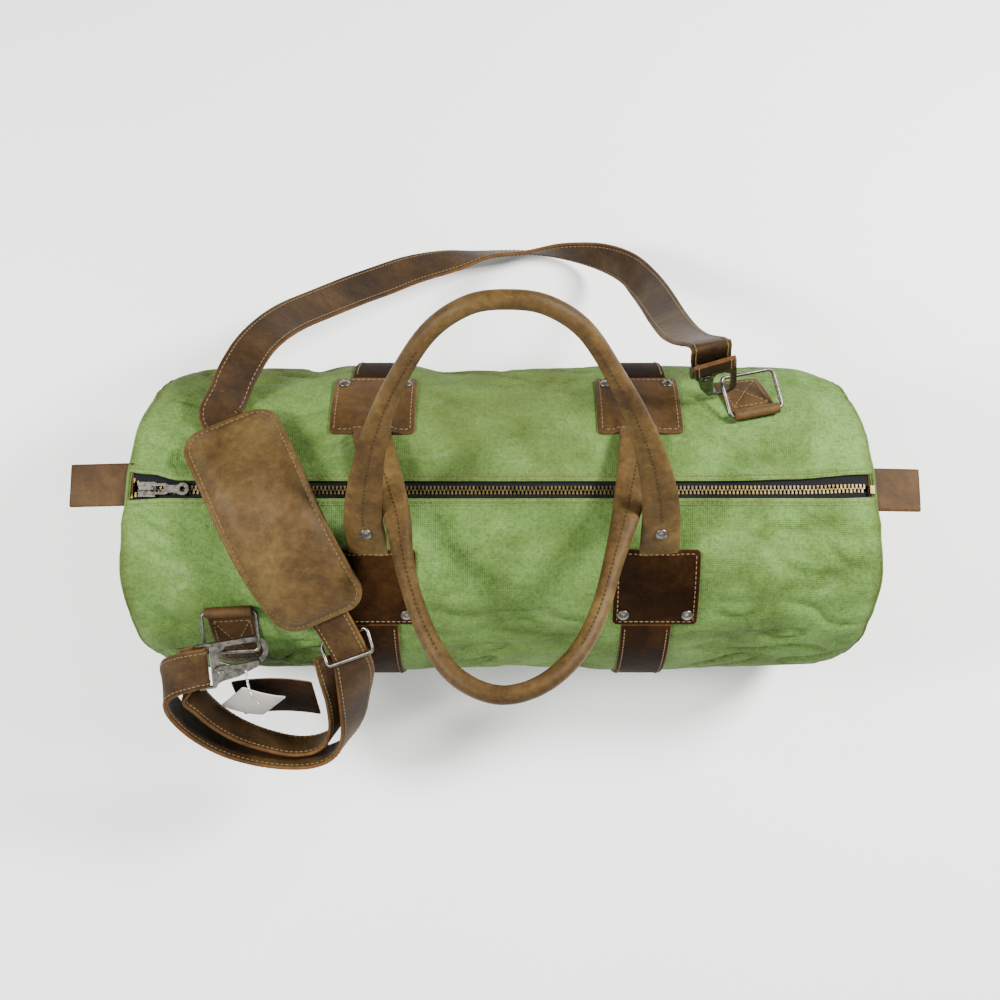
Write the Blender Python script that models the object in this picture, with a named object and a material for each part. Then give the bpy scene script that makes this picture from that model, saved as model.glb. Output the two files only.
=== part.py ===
"""Barrel duffel bag in waxed canvas with leather trim, a metal zipper and a clip-on shoulder strap.

Metres, +Z up. +X runs along the barrel, -Y is the front, and the origin is the middle of the flat
stretch of canvas that the bag rests on.
"""
import math

import bmesh
import bpy
from mathutils import Matrix, Vector

MM = 0.001

# --- the barrel ---
BARREL_LENGTH = 560 * MM
BARREL_R = 125 * MM
BARREL_AXIS_Z = 120 * MM
CANVAS = 2.0 * MM
LEATHER = 2.4 * MM
GAP = 0.35 * MM
BOTTOM_HALF_ANGLE = 26.0
ZIP_SLOT_HALF = 9 * MM
BAND_WIDTH = 38 * MM
BAND_LEFT_X = -97 * MM
BAND_RIGHT_X = 110 * MM
BAND_RECESS = 3.0 * MM
PIPING_WIDTH = 5 * MM
END_TAB_WIDTH = 32 * MM
END_TAB_Z = 238.6 * MM
PLY = 1.9 * MM

# --- zipper ---
TAPE_Z = 241.6 * MM
TAPE_THICK = 0.7 * MM
TEETH_HALF = 3.4 * MM
TEETH_HEIGHT = 2.6 * MM
TAPE_REACH = 14.5 * MM
TAPE_FALL = 1.0 * MM
STOP_HALF_HEIGHT = 1.6 * MM
SLIDER_X = -262 * MM
SLIDER_LENGTH = 13 * MM
PULL_LENGTH = 29 * MM
PULL_EYE_R = 4.8 * MM
PULL_HOLE_R = 2.1 * MM
PIN_CLEARANCE = 0.15 * MM

# --- handles ---
HINGE_Y = 43 * MM
HINGE_Z = 244.5 * MM
FRONT_LEAN = 50.0
BACK_LEAN = 18.0
LEG_WIDTH = 29 * MM
LEG_THICK = 7 * MM
GRIP_D = 13.6 * MM
PATCH_INNER_ANGLE = 20.5
PATCH_OUTER_ANGLE = 49.5
PATCH_WIDTH = 64 * MM

# --- rings, hooks and strap ---
TAB_WIDTH = 36 * MM
TAB_LENGTH_LEFT = 62 * MM
TAB_LENGTH_RIGHT = 44 * MM
RING_WIRE_R = 1.6 * MM
RING_HALF_WIDTH = 20.8 * MM
RING_LENGTH = 31 * MM
RING_BEND = 4 * MM
HOOK_THICK = 3.5 * MM
HOOK_BAR_V = 16.5 * MM
HOOK_PIVOT = (14.5 * MM, 23 * MM)
HOOK_PIN_R = 1.6 * MM
LEVER_THICK = 1.8 * MM
STRAP_WIDTH = 30.4 * MM
STRAP_THICK = 3.2 * MM
STRAP_FOLD_R = 3.0 * MM
HOOK_CROSSING_LEFT = (31 * MM, 9 * MM)
HOOK_CROSSING_RIGHT = (40 * MM, 9.5 * MM)

# --- shoulder pad ---
PAD_WIDTH = 75 * MM
PAD_LENGTH = 182 * MM
PAD_THICK = 10 * MM
PAD_CORNER = 18 * MM
PAD_LOW_X = -129 * MM
PAD_HIGH_X = -207.5 * MM
PAD_LOW_ANGLE = -44.0
PAD_HIGH_ANGLE = 23.5
PAD_LIFT = 10.8 * MM
PAD_LOW_LIFT = 3.4 * MM
PAD_GAP = 1.3 * MM

# --- slide and hang tag ---
ADJUSTER_PLACE = -0.16
ADJUSTER_LIFT = 9.1 * MM
ADJUSTER_HALF_WIDTH = 20.5 * MM
ADJUSTER_HALF_HEIGHT = 7 * MM
ADJUSTER_TILT = 0.88
ADJUSTER_WIRE_R = 1.3 * MM
TAG_THICK = 1.4 * MM
TAG_LEAN = -70.0
CHAIN_R = 1.1 * MM

X_AXIS = Vector((1, 0, 0))


def clear_scene():
    for obj in list(bpy.data.objects):
        bpy.data.objects.remove(obj, do_unlink=True)


def material(name, color, roughness, metallic=0.0):
    found = bpy.data.materials.get(name)
    if found:
        return found
    made = bpy.data.materials.new(name)
    made.use_nodes = True
    shader = made.node_tree.nodes["Principled BSDF"]
    shader.inputs["Base Color"].default_value = (*color, 1)
    shader.inputs["Roughness"].default_value = roughness
    shader.inputs["Metallic"].default_value = metallic
    return made


def canvas():
    return material("green_canvas", (0.20, 0.30, 0.09), 0.85)


def leather():
    return material("brown_leather", (0.19, 0.09, 0.035), 0.55)


def nickel():
    return material("antique_nickel", (0.42, 0.40, 0.36), 0.35, 1.0)


def brass():
    return material("antique_brass", (0.45, 0.33, 0.13), 0.4, 1.0)


def tape():
    return material("black_tape", (0.01, 0.01, 0.012), 0.9)


def card():
    return material("cream_card", (0.62, 0.56, 0.46), 0.8)


def add_mesh(name, bm, finish, smooth_angle=40):
    bmesh.ops.recalc_face_normals(bm, faces=bm.faces)
    mesh = bpy.data.meshes.new(name)
    bm.to_mesh(mesh)
    bm.free()
    mesh.shade_smooth()
    mesh.set_sharp_from_angle(angle=math.radians(smooth_angle))
    mesh.materials.append(finish)
    obj = bpy.data.objects.new(name, mesh)
    bpy.context.scene.collection.objects.link(obj)
    return obj


def loft(name, rings, finish, closed=False, smooth_angle=40):
    """Skin a row of point rings of equal length. An open row gets end caps."""
    bm = bmesh.new()
    rows = [[bm.verts.new(point) for point in ring] for ring in rings]
    count = len(rows[0])
    pairs = list(zip(rows, rows[1:]))
    if closed:
        pairs.append((rows[-1], rows[0]))
    for low, high in pairs:
        for i in range(count):
            j = (i + 1) % count
            bm.faces.new((low[i], low[j], high[j], high[i]))
    if not closed:
        bm.faces.new(rows[0][::-1])
        bm.faces.new(rows[-1])
    return add_mesh(name, bm, finish, smooth_angle)


def prism(name, outline, frame, low, high, finish, smooth_angle=40):
    """Extrude a flat outline, given in a frame's first two axes, between two heights on its third."""
    rings = [[frame @ Vector((u, v, height)) for u, v in outline] for height in (low, high)]
    return loft(name, rings, finish, smooth_angle=smooth_angle)


def cut(obj, cutter):
    """Subtract a helper solid, which stays in the file as a hidden guide."""
    cutter.hide_render = True
    cutter.display_type = "WIRE"
    modifier = obj.modifiers.new("cut_" + cutter.name, "BOOLEAN")
    modifier.operation = "DIFFERENCE"
    modifier.solver = "EXACT"
    modifier.object = cutter


def smooth_path(points, steps=4):
    """Points along a Catmull-Rom curve through the given ones."""
    points = [Vector(point) for point in points]
    ends = [2 * points[0] - points[1]] + points + [2 * points[-1] - points[-2]]
    path = []
    for i in range(1, len(ends) - 2):
        before, start, stop, after = ends[i - 1:i + 3]
        for step in range(steps):
            t = step / steps
            path.append(0.5 * (2 * start + (stop - before) * t
                               + (2 * before - 5 * start + 4 * stop - after) * t * t
                               + (3 * start - before - 3 * stop + after) * t ** 3))
    path.append(points[-1])
    return path


def tangents(path):
    ahead = path[1:] + path[-1:]
    behind = path[:1] + path[:-1]
    return [(a - b).normalized() for a, b in zip(ahead, behind)]


def strip(name, path, sides, width, thick, finish, closed=False):
    """A flat strap along a path. Each side vector points across it; widths may vary per point."""
    widths = width if isinstance(width, list) else [width] * len(path)
    along_path = tangents(path)
    if closed:
        along_path[0] = along_path[-1] = (path[1] - path[-1]).normalized()
    rings = []
    for point, along, side, wide in zip(path, along_path, sides, widths):
        side = (side - side.dot(along) * along).normalized()
        face = side.cross(along)
        across = side * wide / 2
        up = face * thick / 2
        rings.append([point - across - up, point + across - up, point + across + up,
                      point - across + up])
    return loft(name, rings, finish, closed=closed)


def tube(name, path, radius, finish, sides=8, closed=False):
    """A round wire along a path, which turns without twisting."""
    count = len(path)
    if closed:
        along_path = [(path[(i + 1) % count] - path[i - 1]).normalized() for i in range(count)]
    else:
        along_path = tangents(path)
    side = along_path[0].orthogonal().normalized()
    rings = []
    for point, along in zip(path, along_path):
        side = (side - side.dot(along) * along).normalized()
        other = along.cross(side)
        angles = [2 * math.pi * k / sides for k in range(sides)]
        rings.append([point + radius * (math.cos(a) * side + math.sin(a) * other) for a in angles])
    return loft(name, rings, finish, closed=closed)


def barrel_point(angle, offset=0.0, floor=0.0):
    """A point of the barrel's section, angle in degrees from the top, positive to the back."""
    turn = math.radians(angle)
    y = (BARREL_R + offset) * math.sin(turn)
    z = BARREL_AXIS_Z + (BARREL_R + offset) * math.cos(turn)
    return Vector((0, y, max(z, floor)))


def barrel_normal(angle):
    turn = math.radians(angle)
    return Vector((0, math.sin(turn), math.cos(turn)))


def spread(start, stop, steps):
    return [start + (stop - start) * i / steps for i in range(steps + 1)]


def section(angles, offset, floor):
    """Points of the flattened section. The nearest two angles move onto the edges of the flat."""
    edge = math.degrees(math.acos(min(1, (BARREL_AXIS_Z - floor) / (BARREL_R + offset))))
    angles = list(angles)
    for corner in (180 - edge, 180 + edge):
        nearest = min(range(len(angles)), key=lambda i: abs(angles[i] % 360 - corner))
        angles[nearest] = corner
    return [barrel_point(a, offset, floor) for a in angles]


def barrel_plate(name, start, stop, x_low, x_high, base, thick, finish, steps, floor=0.0):
    """A curved plate on the barrel between two angles, extruded along X."""
    outer = [barrel_point(a, base + thick, floor) for a in spread(start, stop, steps)]
    inner = [barrel_point(a, base, floor + thick) for a in spread(stop, start, steps)]
    outline = outer + inner
    rings = [[point + x * X_AXIS for point in outline] for x in (x_low, x_high)]
    return loft(name, rings, finish)


def canvas_panels():
    slot_angle = math.degrees(math.asin(ZIP_SLOT_HALF / BARREL_R))
    low_angle = 180 - BOTTOM_HALF_ANGLE
    seam = math.degrees(GAP / BARREL_R) / 2
    half = BARREL_LENGTH / 2 - 0.001
    for name, side in (("canvas_front_panel", -1), ("canvas_back_panel", 1)):
        barrel_plate(name, side * slot_angle, side * (low_angle - seam), -half, half, -CANVAS, CANVAS,
                     canvas(), 26)
    # The bottom panel sags to the floor between the leather bands and the end seams.
    seam_edge = BARREL_LENGTH / 2 - PIPING_WIDTH - 4 * MM
    stations = [(-half, BAND_RECESS), (-seam_edge - 2 * MM, BAND_RECESS), (-seam_edge + 4 * MM, 0)]
    for centre in (BAND_LEFT_X, BAND_RIGHT_X):
        near = BAND_WIDTH / 2 + 1 * MM
        far = near + 5 * MM
        stations += [(centre - far, 0), (centre - near, BAND_RECESS)]
        stations += [(centre + near, BAND_RECESS), (centre + far, 0)]
    stations += [(seam_edge - 4 * MM, 0), (seam_edge + 2 * MM, BAND_RECESS), (half, BAND_RECESS)]
    start = low_angle + seam
    stop = 360 - start
    rings = []
    for x, floor in stations:
        outer = section(spread(start, stop, 12), 0, floor)
        inner = section(spread(stop, start, 12), -CANVAS, floor + CANVAS)
        rings.append([point + x * X_AXIS for point in outer + inner])
    loft("canvas_bottom_panel", rings, canvas())


def ends():
    """Round end panels, the canvas piping over their seams, and the folded end tabs."""
    half = BARREL_LENGTH / 2
    for side, word in ((-1, "left"), (1, "right")):
        inner_x = side * (half - 1 * MM + GAP)
        outer_x = side * (half - 1 * MM + GAP + CANVAS)
        outline = section(spread(0, 345, 23), -1 * MM, BAND_RECESS + 1 * MM)
        disc = [[point + x * X_AXIS for point in outline] for x in (inner_x, outer_x)]
        loft("end_panel_" + word, disc, canvas())
        mid_x = side * (half + 1.4 * MM - PIPING_WIDTH / 2)
        path = [point + mid_x * X_AXIS for point in section(spread(0, 352, 44), 1.6 * MM, 1.5 * MM)]
        across = [X_AXIS] * len(path)
        strip("end_piping_" + word, path, across, PIPING_WIDTH, CANVAS, canvas(), closed=True)
    end_tab("end_tab_left", -1, 5 * MM, 40 * MM, 8.0)
    end_tab("end_tab_right", 1, 1 * MM, 30 * MM, 6.0)


def end_tab(name, side, middle, length, droop):
    """A strap folded back on itself, sewn at the zipper's end."""
    root = Vector((side * (BARREL_LENGTH / 2 + 2.2 * MM), middle, END_TAB_Z))
    slope = math.radians(droop)
    out = Vector((side * math.cos(slope), 0, -math.sin(slope)))
    up = Vector((0, 1, 0)).cross(out) * side
    half_gap = PLY / 2 + 0.5 * MM
    path = [root + up * half_gap, root + out * length * 0.5 + up * half_gap]
    for a in spread(90, -90, 6):
        turn = math.radians(a)
        reach = length - half_gap + half_gap * math.cos(turn)
        path.append(root + out * reach + up * half_gap * math.sin(turn))
    path += [root + out * length * 0.5 - up * half_gap, root - up * half_gap]
    strip(name, path, [Vector((0, 1, 0))] * len(path), END_TAB_WIDTH, PLY, leather())


def zipper():
    half = BARREL_LENGTH / 2 - 3 * MM
    for word, side in (("front", -1), ("back", 1)):
        tape_low = side * (TEETH_HALF + GAP)
        tape_high = side * TAPE_REACH
        outer_z = TAPE_Z - TAPE_FALL
        outline = [(tape_low, TAPE_Z), (tape_high, outer_z), (tape_high, outer_z - TAPE_THICK),
                   (tape_low, TAPE_Z - TAPE_THICK)]
        bar(f"zipper_tape_{word}", outline, -half, half, tape())
        inner = side * 0.2 * MM
        outer = side * TEETH_HALF
        low = TAPE_Z - TAPE_THICK / 2 - TEETH_HEIGHT / 2
        outline = [(inner, low), (outer, low), (outer, low + TEETH_HEIGHT), (inner, low + TEETH_HEIGHT)]
        bar(f"zipper_teeth_{word}", outline, -half + 4 * MM, half - 4 * MM, brass())
    stop_x = half - 3.6 * MM
    low = (stop_x, -TEETH_HALF, TAPE_Z - STOP_HALF_HEIGHT)
    high = (half, TEETH_HALF, TAPE_Z + STOP_HALF_HEIGHT)
    block("zipper_bottom_stop", low, high, brass())
    slider()
    zipper_pull()


def bar(name, outline, x_low, x_high, finish):
    rings = [[Vector((x, y, z)) for y, z in outline] for x in (x_low, x_high)]
    return loft(name, rings, finish)


def block(name, low, high, finish):
    bm = bmesh.new()
    size = Vector(high) - Vector(low)
    centre = (Vector(high) + Vector(low)) / 2
    bmesh.ops.create_cube(bm, size=1, matrix=Matrix.Translation(centre) @ Matrix.Diagonal((*size, 1)))
    return add_mesh(name, bm, finish)


def slider():
    """A channel that straddles the teeth, with the bridge that holds the pull."""
    skirt_z = TAPE_Z + 0.4 * MM
    roof_low = TAPE_Z - TAPE_THICK / 2 + TEETH_HEIGHT / 2 + 0.4 * MM
    roof_high = roof_low + 1.2 * MM
    wide = 5.6 * MM
    clear = TEETH_HALF + 0.5 * MM
    outline = [(-wide, skirt_z), (-wide, roof_high), (wide, roof_high), (wide, skirt_z),
               (clear, skirt_z), (clear, roof_low), (-clear, roof_low), (-clear, skirt_z)]
    rear = SLIDER_X - SLIDER_LENGTH / 2
    body = bar("zipper_slider", outline, rear, rear + SLIDER_LENGTH, nickel())
    bridge_half = 1.3 * MM
    post = 4.6 * MM
    thin = 1.1 * MM
    low = roof_high - 0.3 * MM
    high = roof_high + 3.9 * MM
    profile = [(-post - thin, low), (-post - thin, high - thin), (-post, high), (post, high),
               (post + thin, high - thin), (post + thin, low), (post, low), (post, high - 1.3 * thin),
               (-post, high - 1.3 * thin), (-post, low)]
    rings = [[Vector((SLIDER_X + x, y, z)) for x, z in profile] for y in (-bridge_half, bridge_half)]
    bridge = loft("slider_bridge_guide", rings, nickel())
    bridge.hide_render = True
    bridge.display_type = "WIRE"
    join = body.modifiers.new("bridge", "BOOLEAN")
    join.operation = "UNION"
    join.solver = "EXACT"
    join.object = bridge
    return body


def pull_pivot():
    """The pull's bar runs across under the slider's bridge."""
    roof_high = TAPE_Z - TAPE_THICK / 2 + TEETH_HEIGHT / 2 + 1.6 * MM
    return Vector((SLIDER_X + 2.6 * MM, 0, roof_high + 1.15 * MM))


def zipper_pull():
    """A keyhole plate: a slotted end round the bridge and a round eye at the far end."""
    pivot = pull_pivot()
    thick = 1.5 * MM
    eye_x = PULL_LENGTH - PULL_EYE_R
    head = 4.3 * MM
    neck = 3.0 * MM
    outline = [(-0.8 * MM, -head), (11.5 * MM, -head), (14 * MM, -neck), (19 * MM, -neck)]
    for a in spread(-140, 140, 16):
        turn = math.radians(a)
        outline.append((eye_x + PULL_EYE_R * math.cos(turn), PULL_EYE_R * math.sin(turn)))
    outline += [(19 * MM, neck), (14 * MM, neck), (11.5 * MM, head), (-0.8 * MM, head)]
    frame = Matrix.Translation(pivot)
    pull = prism("zipper_pull", outline, frame, -thick / 2, thick / 2, nickel())
    slot = block("pull_slot_guide", pivot + Vector((0.8 * MM, -2.2 * MM, -thick)),
                 pivot + Vector((10.4 * MM, 2.2 * MM, thick)), nickel())
    cut(pull, slot)
    hole = circle((eye_x, 0), PULL_HOLE_R)
    cut(pull, prism("pull_eye_guide", hole, frame, -thick, thick, nickel()))
    rehang(pull, pivot)


def rehang(obj, origin):
    """Move an object's origin onto its joint axis without moving its shape."""
    obj.data.transform(Matrix.Translation(-origin))
    obj.location = origin


def dome(name, foot, up, radius, finish, height=0.5):
    """A domed rivet cap standing on a face."""
    up = up.normalized()
    side = up.orthogonal().normalized()
    other = up.cross(side)
    rings = []
    for rise, wide in ((0, 1.0), (0.45 * height, 0.94), (0.8 * height, 0.68), (height, 0.28)):
        ring = []
        for k in range(10):
            turn = 2 * math.pi * k / 10
            spoke = math.cos(turn) * side + math.sin(turn) * other
            ring.append(foot + radius * (rise * up + wide * spoke))
        rings.append(ring)
    return loft(name, rings, finish)


def bands_and_patches():
    """Two leather bands that pass under the bag from patch to patch."""
    seam = math.degrees(GAP / BARREL_R)
    start = PATCH_OUTER_ANGLE + seam
    for word, centre in (("left", BAND_LEFT_X), ("right", BAND_RIGHT_X)):
        outer = section(spread(start, 360 - start, 44), GAP + LEATHER, 0)
        inner = section(spread(360 - start, start, 44), GAP, LEATHER)
        rings = [[point + x * X_AXIS for point in outer + inner]
                 for x in (centre - BAND_WIDTH / 2, centre + BAND_WIDTH / 2)]
        loft("band_" + word, rings, leather())
    for word, side, centre in (("front_left", -1, -95 * MM), ("front_right", -1, 116 * MM),
                               ("back_left", 1, -97 * MM), ("back_right", 1, 105 * MM)):
        barrel_plate("patch_" + word, side * PATCH_INNER_ANGLE, side * PATCH_OUTER_ANGLE,
                     centre - PATCH_WIDTH / 2, centre + PATCH_WIDTH / 2, GAP, LEATHER, leather(), 8)
        for end, reach in (("left", -24 * MM), ("right", 24 * MM)):
            angle = side * (PATCH_OUTER_ANGLE - 4.5)
            foot = barrel_point(angle, 2 * GAP + LEATHER) + (centre + reach) * X_AXIS
            dome(f"patch_{word}_rivet_{end}", foot, barrel_normal(angle), 4.5 * MM, nickel())


FRONT_ARCH = ((-98, 4.5), (-99.5, 30), (-95, 65), (-86, 105), (-71, 145), (-48, 185), (-22, 206),
              (4, 210.5), (30, 206), (55, 187), (77, 150), (95, 112), (108, 72), (115, 35), (116.5, 4.5))
BACK_ARCH = ((-96, 4.5), (-86, 35), (-75, 71), (-67, 115), (-52, 160), (-32, 192), (-3, 206.5),
             (26, 200), (51, 178), (68, 146), (80, 106), (90, 70), (98, 35), (103, 4.5))


def handle(name, side, arch, lean, full_taper):
    """A rolled strap: flat at its two feet, round at the grip. It leans across the bag."""
    rise = math.radians(lean)
    out = Vector((0, -side * math.cos(rise), math.sin(rise)))
    top = Vector((0, side * math.sin(rise), math.cos(rise)))
    hinge = Vector((0, side * HINGE_Y, HINGE_Z))
    path = smooth_path([Vector((x, reach, 0)) * MM for x, reach in arch], 3)
    rings = []
    for point, along in zip(path, tangents(path)):
        blend = min(1.0, point.y / full_taper)
        width = LEG_WIDTH + (GRIP_D - LEG_WIDTH) * blend
        thick = LEG_THICK + (GRIP_D - LEG_THICK) * blend
        across = Vector((-along.y, along.x, 0))
        # The feet are cut square to the hinge.
        if point.y < 5 * MM:
            across = Vector((-1, 0, 0)) if along.y > 0 else Vector((1, 0, 0))
        ring = []
        for k in range(10):
            turn = 2 * math.pi * (k + 0.5) / 10
            flat = point + across * width / 2 * rounded(math.cos(turn), blend)
            lift = thick / 2 * rounded(math.sin(turn), blend)
            ring.append(hinge + flat.x * X_AXIS + flat.y * out + lift * top)
        rings.append(ring)
    made = loft(name, rings, leather(), smooth_angle=60)
    rehang(made, hinge)
    for word, foot in (("left", path[0]), ("right", path[-1])):
        spot = hinge + foot.x * X_AXIS + 15 * MM * out + (LEG_THICK / 2 + 0.9 * MM) * top
        rivet = dome(f"{name}_rivet_{word}", spot, top, 4.5 * MM, nickel())
        rehang(rivet, hinge)


def rounded(value, blend):
    """A boxier section for the flat feet than for the round grip."""
    power = 0.55 + 0.45 * blend
    return math.copysign(abs(value) ** power, value)


def station(x, angle, turn):
    """Axes on the barrel's surface: across, down the tab, and outward."""
    out = barrel_normal(angle)
    round_side = math.copysign(1, angle)
    down = Vector((0, math.cos(math.radians(angle)), -math.sin(math.radians(angle)))) * round_side
    spin = Matrix.Rotation(math.radians(turn), 3, out)
    return x, angle, spin @ X_AXIS, spin @ down, out


RING_OFFSET = 5.4 * MM
LEFT_STATION = (-204 * MM, -42.5, 4.0)
RIGHT_STATION = (193 * MM, 28.0, 14.0)
LEFT_RING_LIFT = 20.5
RIGHT_RING_LIFT = 25.0


def ring_pivot(place):
    x, angle, across, down, out = station(*place)
    return barrel_point(angle, RING_OFFSET) + x * X_AXIS, across, down, out


def ring_direction(place, lift):
    pivot, across, down, out = ring_pivot(place)
    swing = math.radians(lift)
    return down * math.cos(swing) + out * math.sin(swing)


def ring_tab(name, place, length):
    """Leather looped round the ring's bar, its tail lying down the side of the barrel."""
    x, angle, across, down, out = station(*place)
    pivot, _, _, _ = ring_pivot(place)
    loop_r = RING_WIRE_R + 0.5 * MM + PLY / 2
    path = []
    for a in spread(20, 270, 10):
        turn = math.radians(a)
        path.append(pivot + loop_r * (math.cos(turn) * down + math.sin(turn) * out))
    sides = [across] * len(path)
    for distance in spread(8 * MM, length, 9):
        x_here = x + distance * down.x
        slope = math.sqrt(1 - down.x ** 2)
        sweep = angle + math.copysign(math.degrees(distance * slope / BARREL_R), angle)
        path.append(barrel_point(sweep, 1.5 * GAP + PLY / 2) + x_here * X_AXIS)
        sides.append(station(x, sweep, place[2])[2])
    strip(name, path, sides, TAB_WIDTH, PLY, leather())


def ring(name, place, lift):
    """A rectangular wire loop, hinged in its tab."""
    pivot, across, down, out = ring_pivot(place)
    reach = ring_direction(place, lift)
    corners = [(-RING_HALF_WIDTH, 0), (RING_HALF_WIDTH, 0), (RING_HALF_WIDTH, RING_LENGTH),
               (-RING_HALF_WIDTH, RING_LENGTH)]
    path = [pivot + a * across + d * reach for a, d in round_corners(corners, RING_BEND)]
    made = tube(name, path, RING_WIRE_R, nickel(), closed=True)
    rehang(made, pivot)


def round_corners(corners, radius, steps=3):
    """The corners of a rectangle, each turned into an arc."""
    points = []
    count = len(corners)
    for i, corner in enumerate(corners):
        before = Vector(corners[i - 1]) - Vector(corner)
        after = Vector(corners[(i + 1) % count]) - Vector(corner)
        before.normalize()
        after.normalize()
        centre = Vector(corner) + radius * (before + after)
        for k in range(steps + 1):
            turn = math.pi / 2 * k / steps
            points.append(tuple(centre - radius * (math.cos(turn) * after + math.sin(turn) * before)))
    return points


def hook_frame(crossing, foot, u_axis, v_axis):
    """The casting's axes: u towards the hook's tip, v across it, n out of its lever side."""
    u_axis = u_axis.normalized()
    v_axis = (v_axis - v_axis.dot(u_axis) * u_axis).normalized()
    n_axis = v_axis.cross(u_axis)
    origin = crossing - foot[0] * u_axis - foot[1] * v_axis
    frame = Matrix((u_axis, v_axis, n_axis)).transposed().to_4x4()
    frame.translation = origin
    return frame


def left_hook_frame():
    pivot, across, _, _ = ring_pivot(LEFT_STATION)
    reach = ring_direction(LEFT_STATION, LEFT_RING_LIFT)
    crossing = pivot + RING_LENGTH * reach + 6 * MM * across
    over = across.cross(reach)
    if over.z < 0:
        over = -over
    dip = math.radians(22)
    u_axis = across * math.cos(dip) - over * math.sin(dip)
    return hook_frame(crossing, HOOK_CROSSING_LEFT, u_axis, reach)


def right_hook_frame():
    pivot, across, _, _ = ring_pivot(RIGHT_STATION)
    reach = ring_direction(RIGHT_STATION, RIGHT_RING_LIFT)
    crossing = pivot + 25 * MM * reach - RING_HALF_WIDTH * across
    return hook_frame(crossing, HOOK_CROSSING_RIGHT, Vector((0.15, -0.18, -0.97)), -across)


def hook(word, frame):
    """A flat cast snap hook: strap bar, hooked arm, and a sprung lever on a pin."""
    half = HOOK_THICK / 2
    outline = [(-2 * MM, -1 * MM)]
    for a in spread(-90, 62, 10):
        turn = math.radians(a)
        outline.append(((41 + 11 * math.cos(turn)) * MM, (10 + 11 * math.sin(turn)) * MM))
    for a in spread(62, -90, 8):
        turn = math.radians(a)
        outline.append(((41 + 7 * math.cos(turn)) * MM, (10 + 7 * math.sin(turn)) * MM))
    outline += [(u * MM, v * MM) for u, v in ((20, 3), (15, 8), (14.5, 14), (22, 18), (22, 27),
                                              (12, 31), (10, 34), (-2, 34))]
    body = prism(f"hook_{word}_frame", outline, frame, -half, half, nickel())
    slot = [(2 * MM, 0.7 * MM), (8 * MM, 0.7 * MM), (8 * MM, 32.3 * MM), (2 * MM, 32.3 * MM)]
    cut(body, prism(f"hook_{word}_slot_guide", slot, frame, -2 * half, 2 * half, nickel()))
    hole = circle(HOOK_PIVOT, HOOK_PIN_R + PIN_CLEARANCE)
    cut(body, prism(f"hook_{word}_pin_guide", hole, frame, -2 * half, 2 * half, nickel()))
    low = half + GAP
    high = low + LEVER_THICK
    pivot_u, pivot_v = HOOK_PIVOT
    lever_outline = []
    for a in spread(100, 280, 8):
        turn = math.radians(a)
        lever_outline.append((pivot_u + 6 * MM * math.cos(turn), pivot_v + 6 * MM * math.sin(turn)))
    lever_outline += [(u * MM, v * MM) for u, v in ((26, 18), (42, 17.4), (43.5, 19), (42.5, 22),
                                                    (27, 27.5))]
    lever = prism(f"hook_{word}_lever", lever_outline, frame, low, high, nickel())
    cut(lever, prism(f"hook_{word}_lever_guide", hole, frame, low - half, high + half, nickel()))
    rehang(lever, frame @ Vector((pivot_u, pivot_v, 0)))
    pin_rings = []
    for height, radius in ((-half - 1.2 * MM, 2.8 * MM), (-half - GAP, 3.0 * MM),
                           (-half - GAP, HOOK_PIN_R), (high + GAP, HOOK_PIN_R),
                           (high + GAP, 3.2 * MM), (high + 1.3 * MM, 2.2 * MM)):
        pin_rings.append([frame @ Vector((u, v, height)) for u, v in circle(HOOK_PIVOT, radius)])
    loft(f"hook_{word}_pin", pin_rings, nickel())


def circle(centre, radius, sides=12):
    return [(centre[0] + radius * math.cos(2 * math.pi * k / sides),
             centre[1] + radius * math.sin(2 * math.pi * k / sides)) for k in range(sides)]


STRAP_OFFSET = 2 * GAP + STRAP_THICK / 2


def pad_frame(t, offset):
    """A point of the diagonal line over the barrel that strap and pad follow, with its side vector."""
    x = PAD_LOW_X + (PAD_HIGH_X - PAD_LOW_X) * t
    angle = PAD_LOW_ANGLE + (PAD_HIGH_ANGLE - PAD_LOW_ANGLE) * t
    lift = PAD_LIFT * math.sin(math.pi * min(max(t, 0), 1)) ** 2 + PAD_LOW_LIFT * max(0, 1 - 2 * t)
    point = barrel_point(angle, offset + lift) + x * X_AXIS
    lean = math.atan2(PAD_LOW_X - PAD_HIGH_X, math.radians(PAD_HIGH_ANGLE - PAD_LOW_ANGLE) * BARREL_R)
    turn = math.radians(angle)
    side = Vector((math.cos(lean), math.sin(lean) * math.cos(turn), -math.sin(lean) * math.sin(turn)))
    return point, side


def shoulder_pad():
    offset = STRAP_OFFSET + STRAP_THICK / 2 + PAD_GAP + PAD_THICK / 2
    corner_share = PAD_CORNER / PAD_LENGTH
    depths = [0, 2 * MM, 6 * MM, 12 * MM, PAD_CORNER]
    ratios = [d / PAD_LENGTH for d in depths] + spread(corner_share, 1 - corner_share, 12)[1:-1]
    ratios += [1 - d / PAD_LENGTH for d in reversed(depths)]
    path = []
    sides = []
    widths = []
    for t in ratios:
        point, side = pad_frame(t, offset)
        depth = min(t, 1 - t) * PAD_LENGTH
        inset = PAD_CORNER - math.sqrt(max(0, PAD_CORNER ** 2 - max(0, PAD_CORNER - depth) ** 2))
        path.append(point)
        sides.append(side)
        widths.append(PAD_WIDTH - 2 * inset)
    strip("shoulder_pad", path, sides, widths, PAD_THICK, leather())


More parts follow.
